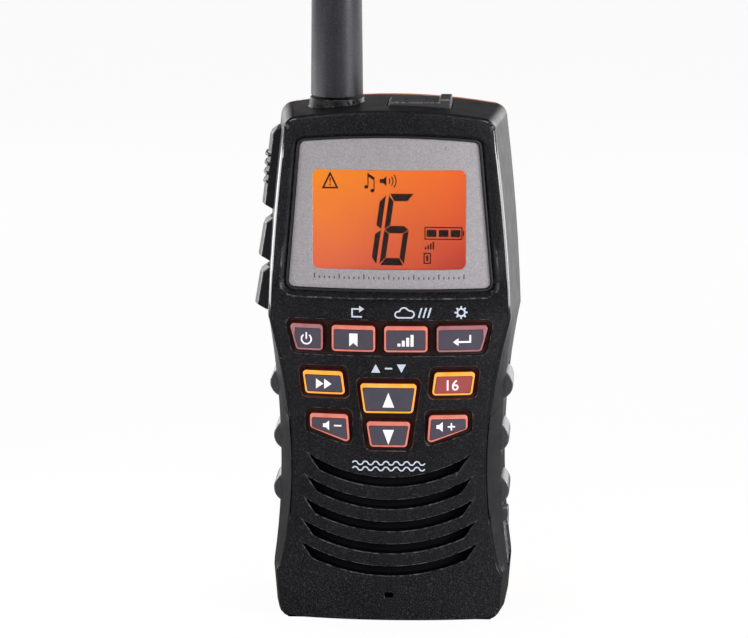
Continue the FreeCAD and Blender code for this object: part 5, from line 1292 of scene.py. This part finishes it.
def seen_as_white(tree, others, gloss):
    """Level of the white: 1 for camera and transmitted rays, gloss for glossy ones, or others."""
    path = tree.nodes.new("ShaderNodeLightPath")
    clear = tree.nodes.new("ShaderNodeMath")
    clear.operation = "MAXIMUM"
    tree.links.new(path.outputs["Is Camera Ray"], clear.inputs[0])
    tree.links.new(path.outputs["Is Transmission Ray"], clear.inputs[1])
    level = easing(tree, path.outputs["Is Glossy Ray"], 0.0, 1.0, others, gloss)
    return easing(tree, clear.outputs[0], 0.0, 1.0, level, 1.0)


def floor_paint(dusk):
    """Pale floor that the camera sees as white, with the object's shadow left on it."""
    white_share = 0.94      # how much of the floor's own shading its white covers
    paint = bpy.data.materials.new("floor_white")
    paint.use_nodes = True
    tree = paint.node_tree
    shader = tree.nodes["Principled BSDF"]
    shader.inputs["Base Color"].default_value = rgba((0.8, 0.8, 0.8))
    shader.inputs["Roughness"].default_value = 0.9
    glow = tree.nodes.new("ShaderNodeEmission")
    glow.inputs["Color"].default_value = rgba((1, 1, 1))
    blend = tree.nodes.new("ShaderNodeMixShader")
    behind = easing(tree, axis_of(tree, "Object", "Y"), 0.1, 0.35, dusk, 1.0)
    tree.links.new(seen_as_white(tree, 1.0, behind), glow.inputs["Strength"])
    share = easing(tree, seen_as_white(tree, 0.0, 1.0), 0.0, 1.0, 0.0, white_share)
    for socket, output in zip(blend.inputs, (share, shader.outputs[0], glow.outputs[0])):
        tree.links.new(output, socket)
    tree.links.new(blend.outputs[0], tree.nodes["Material Output"].inputs[0])
    return paint


def set_floor(stage):
    bm = bmesh.new()
    bmesh.ops.create_circle(bm, cap_ends=True, segments=96, radius=stage.floor)
    mesh = bpy.data.meshes.new("floor")
    bm.to_mesh(mesh)
    bm.free()
    mesh.materials.append(floor_paint(stage.dusk))
    floor = bpy.data.objects.new("floor", mesh)
    bpy.context.scene.collection.objects.link(floor)


def set_room(stage):
    """Even light, which gloss sees as white behind the object and dim in front of it."""
    world = bpy.data.worlds.new("room")
    bpy.context.scene.world = world
    world.use_nodes = True
    tree = world.node_tree
    sky = tree.nodes["Background"]
    sky.inputs["Color"].default_value = rgba((1, 1, 1))
    backdrop = easing(tree, axis_of(tree, "Generated", "Z"), 0.06, 0.16, 1.0, stage.dusk)
    behind = easing(tree, axis_of(tree, "Generated", "Y"), 0.1, 0.4, stage.dusk, backdrop)
    tree.links.new(seen_as_white(tree, stage.room, behind), sky.inputs["Strength"])


def set_camera(scene):
    """The camera, and colours that show as they are written."""
    camera = bpy.data.cameras.new("camera")
    camera.lens, camera.sensor_width = LENS, SENSOR
    camera.shift_x, camera.shift_y = CAMERA_SHIFT
    scene.camera = aim("camera", camera, CAMERA_PLACE, CAMERA_TARGET)
    scene.view_settings.view_transform = "Standard"


class RADIO_OT_stage(bpy.types.Operator):
    """Sets the floor, the lamps, the room light and the camera"""
    bl_idname = "marine_radio.stage"
    bl_label = "Stage"

    def execute(self, context):
        stage = context.scene.radio_stage
        set_floor(stage)
        set_room(stage)
        for name, place, size, setting, share in LAMPS:
            lamp(name, place, size, getattr(stage, setting) * share)
        set_camera(context.scene)
        return {"FINISHED"}


class RADIO_PT_parts(bpy.types.Panel):
    """Lists the steps that build the radio"""
    bl_idname = "RADIO_PT_parts"
    bl_label = "Marine radio"
    bl_space_type = "VIEW_3D"
    bl_region_type = "UI"
    bl_category = "Marine Radio"

    def draw(self, context):
        for holder in GROUPS:
            group = getattr(context.scene, holder)
            box = self.layout.box()
            for name in group.bl_rna.properties.keys():
                if name not in ("rna_type", "name"):
                    box.prop(group, name)
        for step in STEPS:
            self.layout.operator(step.bl_idname)


STEPS = (RADIO_OT_inside, RADIO_OT_case, RADIO_OT_display, RADIO_OT_front_keys, RADIO_OT_legends,
         RADIO_OT_side_keys, RADIO_OT_grips, RADIO_OT_antenna, RADIO_OT_covers, RADIO_OT_clip,
         RADIO_OT_door, RADIO_OT_stage)
GROUPS = {"radio_edges": RadioEdges, "radio_keys": RadioKeys, "radio_colours": RadioColours,
          "radio_stage": RadioStage}


def register():
    for kind in (*GROUPS.values(), *STEPS, RADIO_PT_parts):
        bpy.utils.register_class(kind)
    for name, kind in GROUPS.items():
        setattr(bpy.types.Scene, name, PointerProperty(type=kind))


def unregister():
    for name in GROUPS:
        delattr(bpy.types.Scene, name)
    for kind in reversed((*GROUPS.values(), *STEPS, RADIO_PT_parts)):
        bpy.utils.unregister_class(kind)


def main():
    register()
    make_finishes(bpy.context.scene.radio_colours)
    bpy.ops.marine_radio.inside()
    bpy.ops.marine_radio.case()
    bpy.ops.marine_radio.display()
    bpy.ops.marine_radio.front_keys()
    bpy.ops.marine_radio.legends()
    bpy.ops.marine_radio.side_keys()
    bpy.ops.marine_radio.grips()
    bpy.ops.marine_radio.antenna()
    bpy.ops.marine_radio.covers()
    bpy.ops.marine_radio.clip()
    bpy.ops.marine_radio.door()
    bpy.ops.marine_radio.stage()


if __name__ == "__main__":
    main()
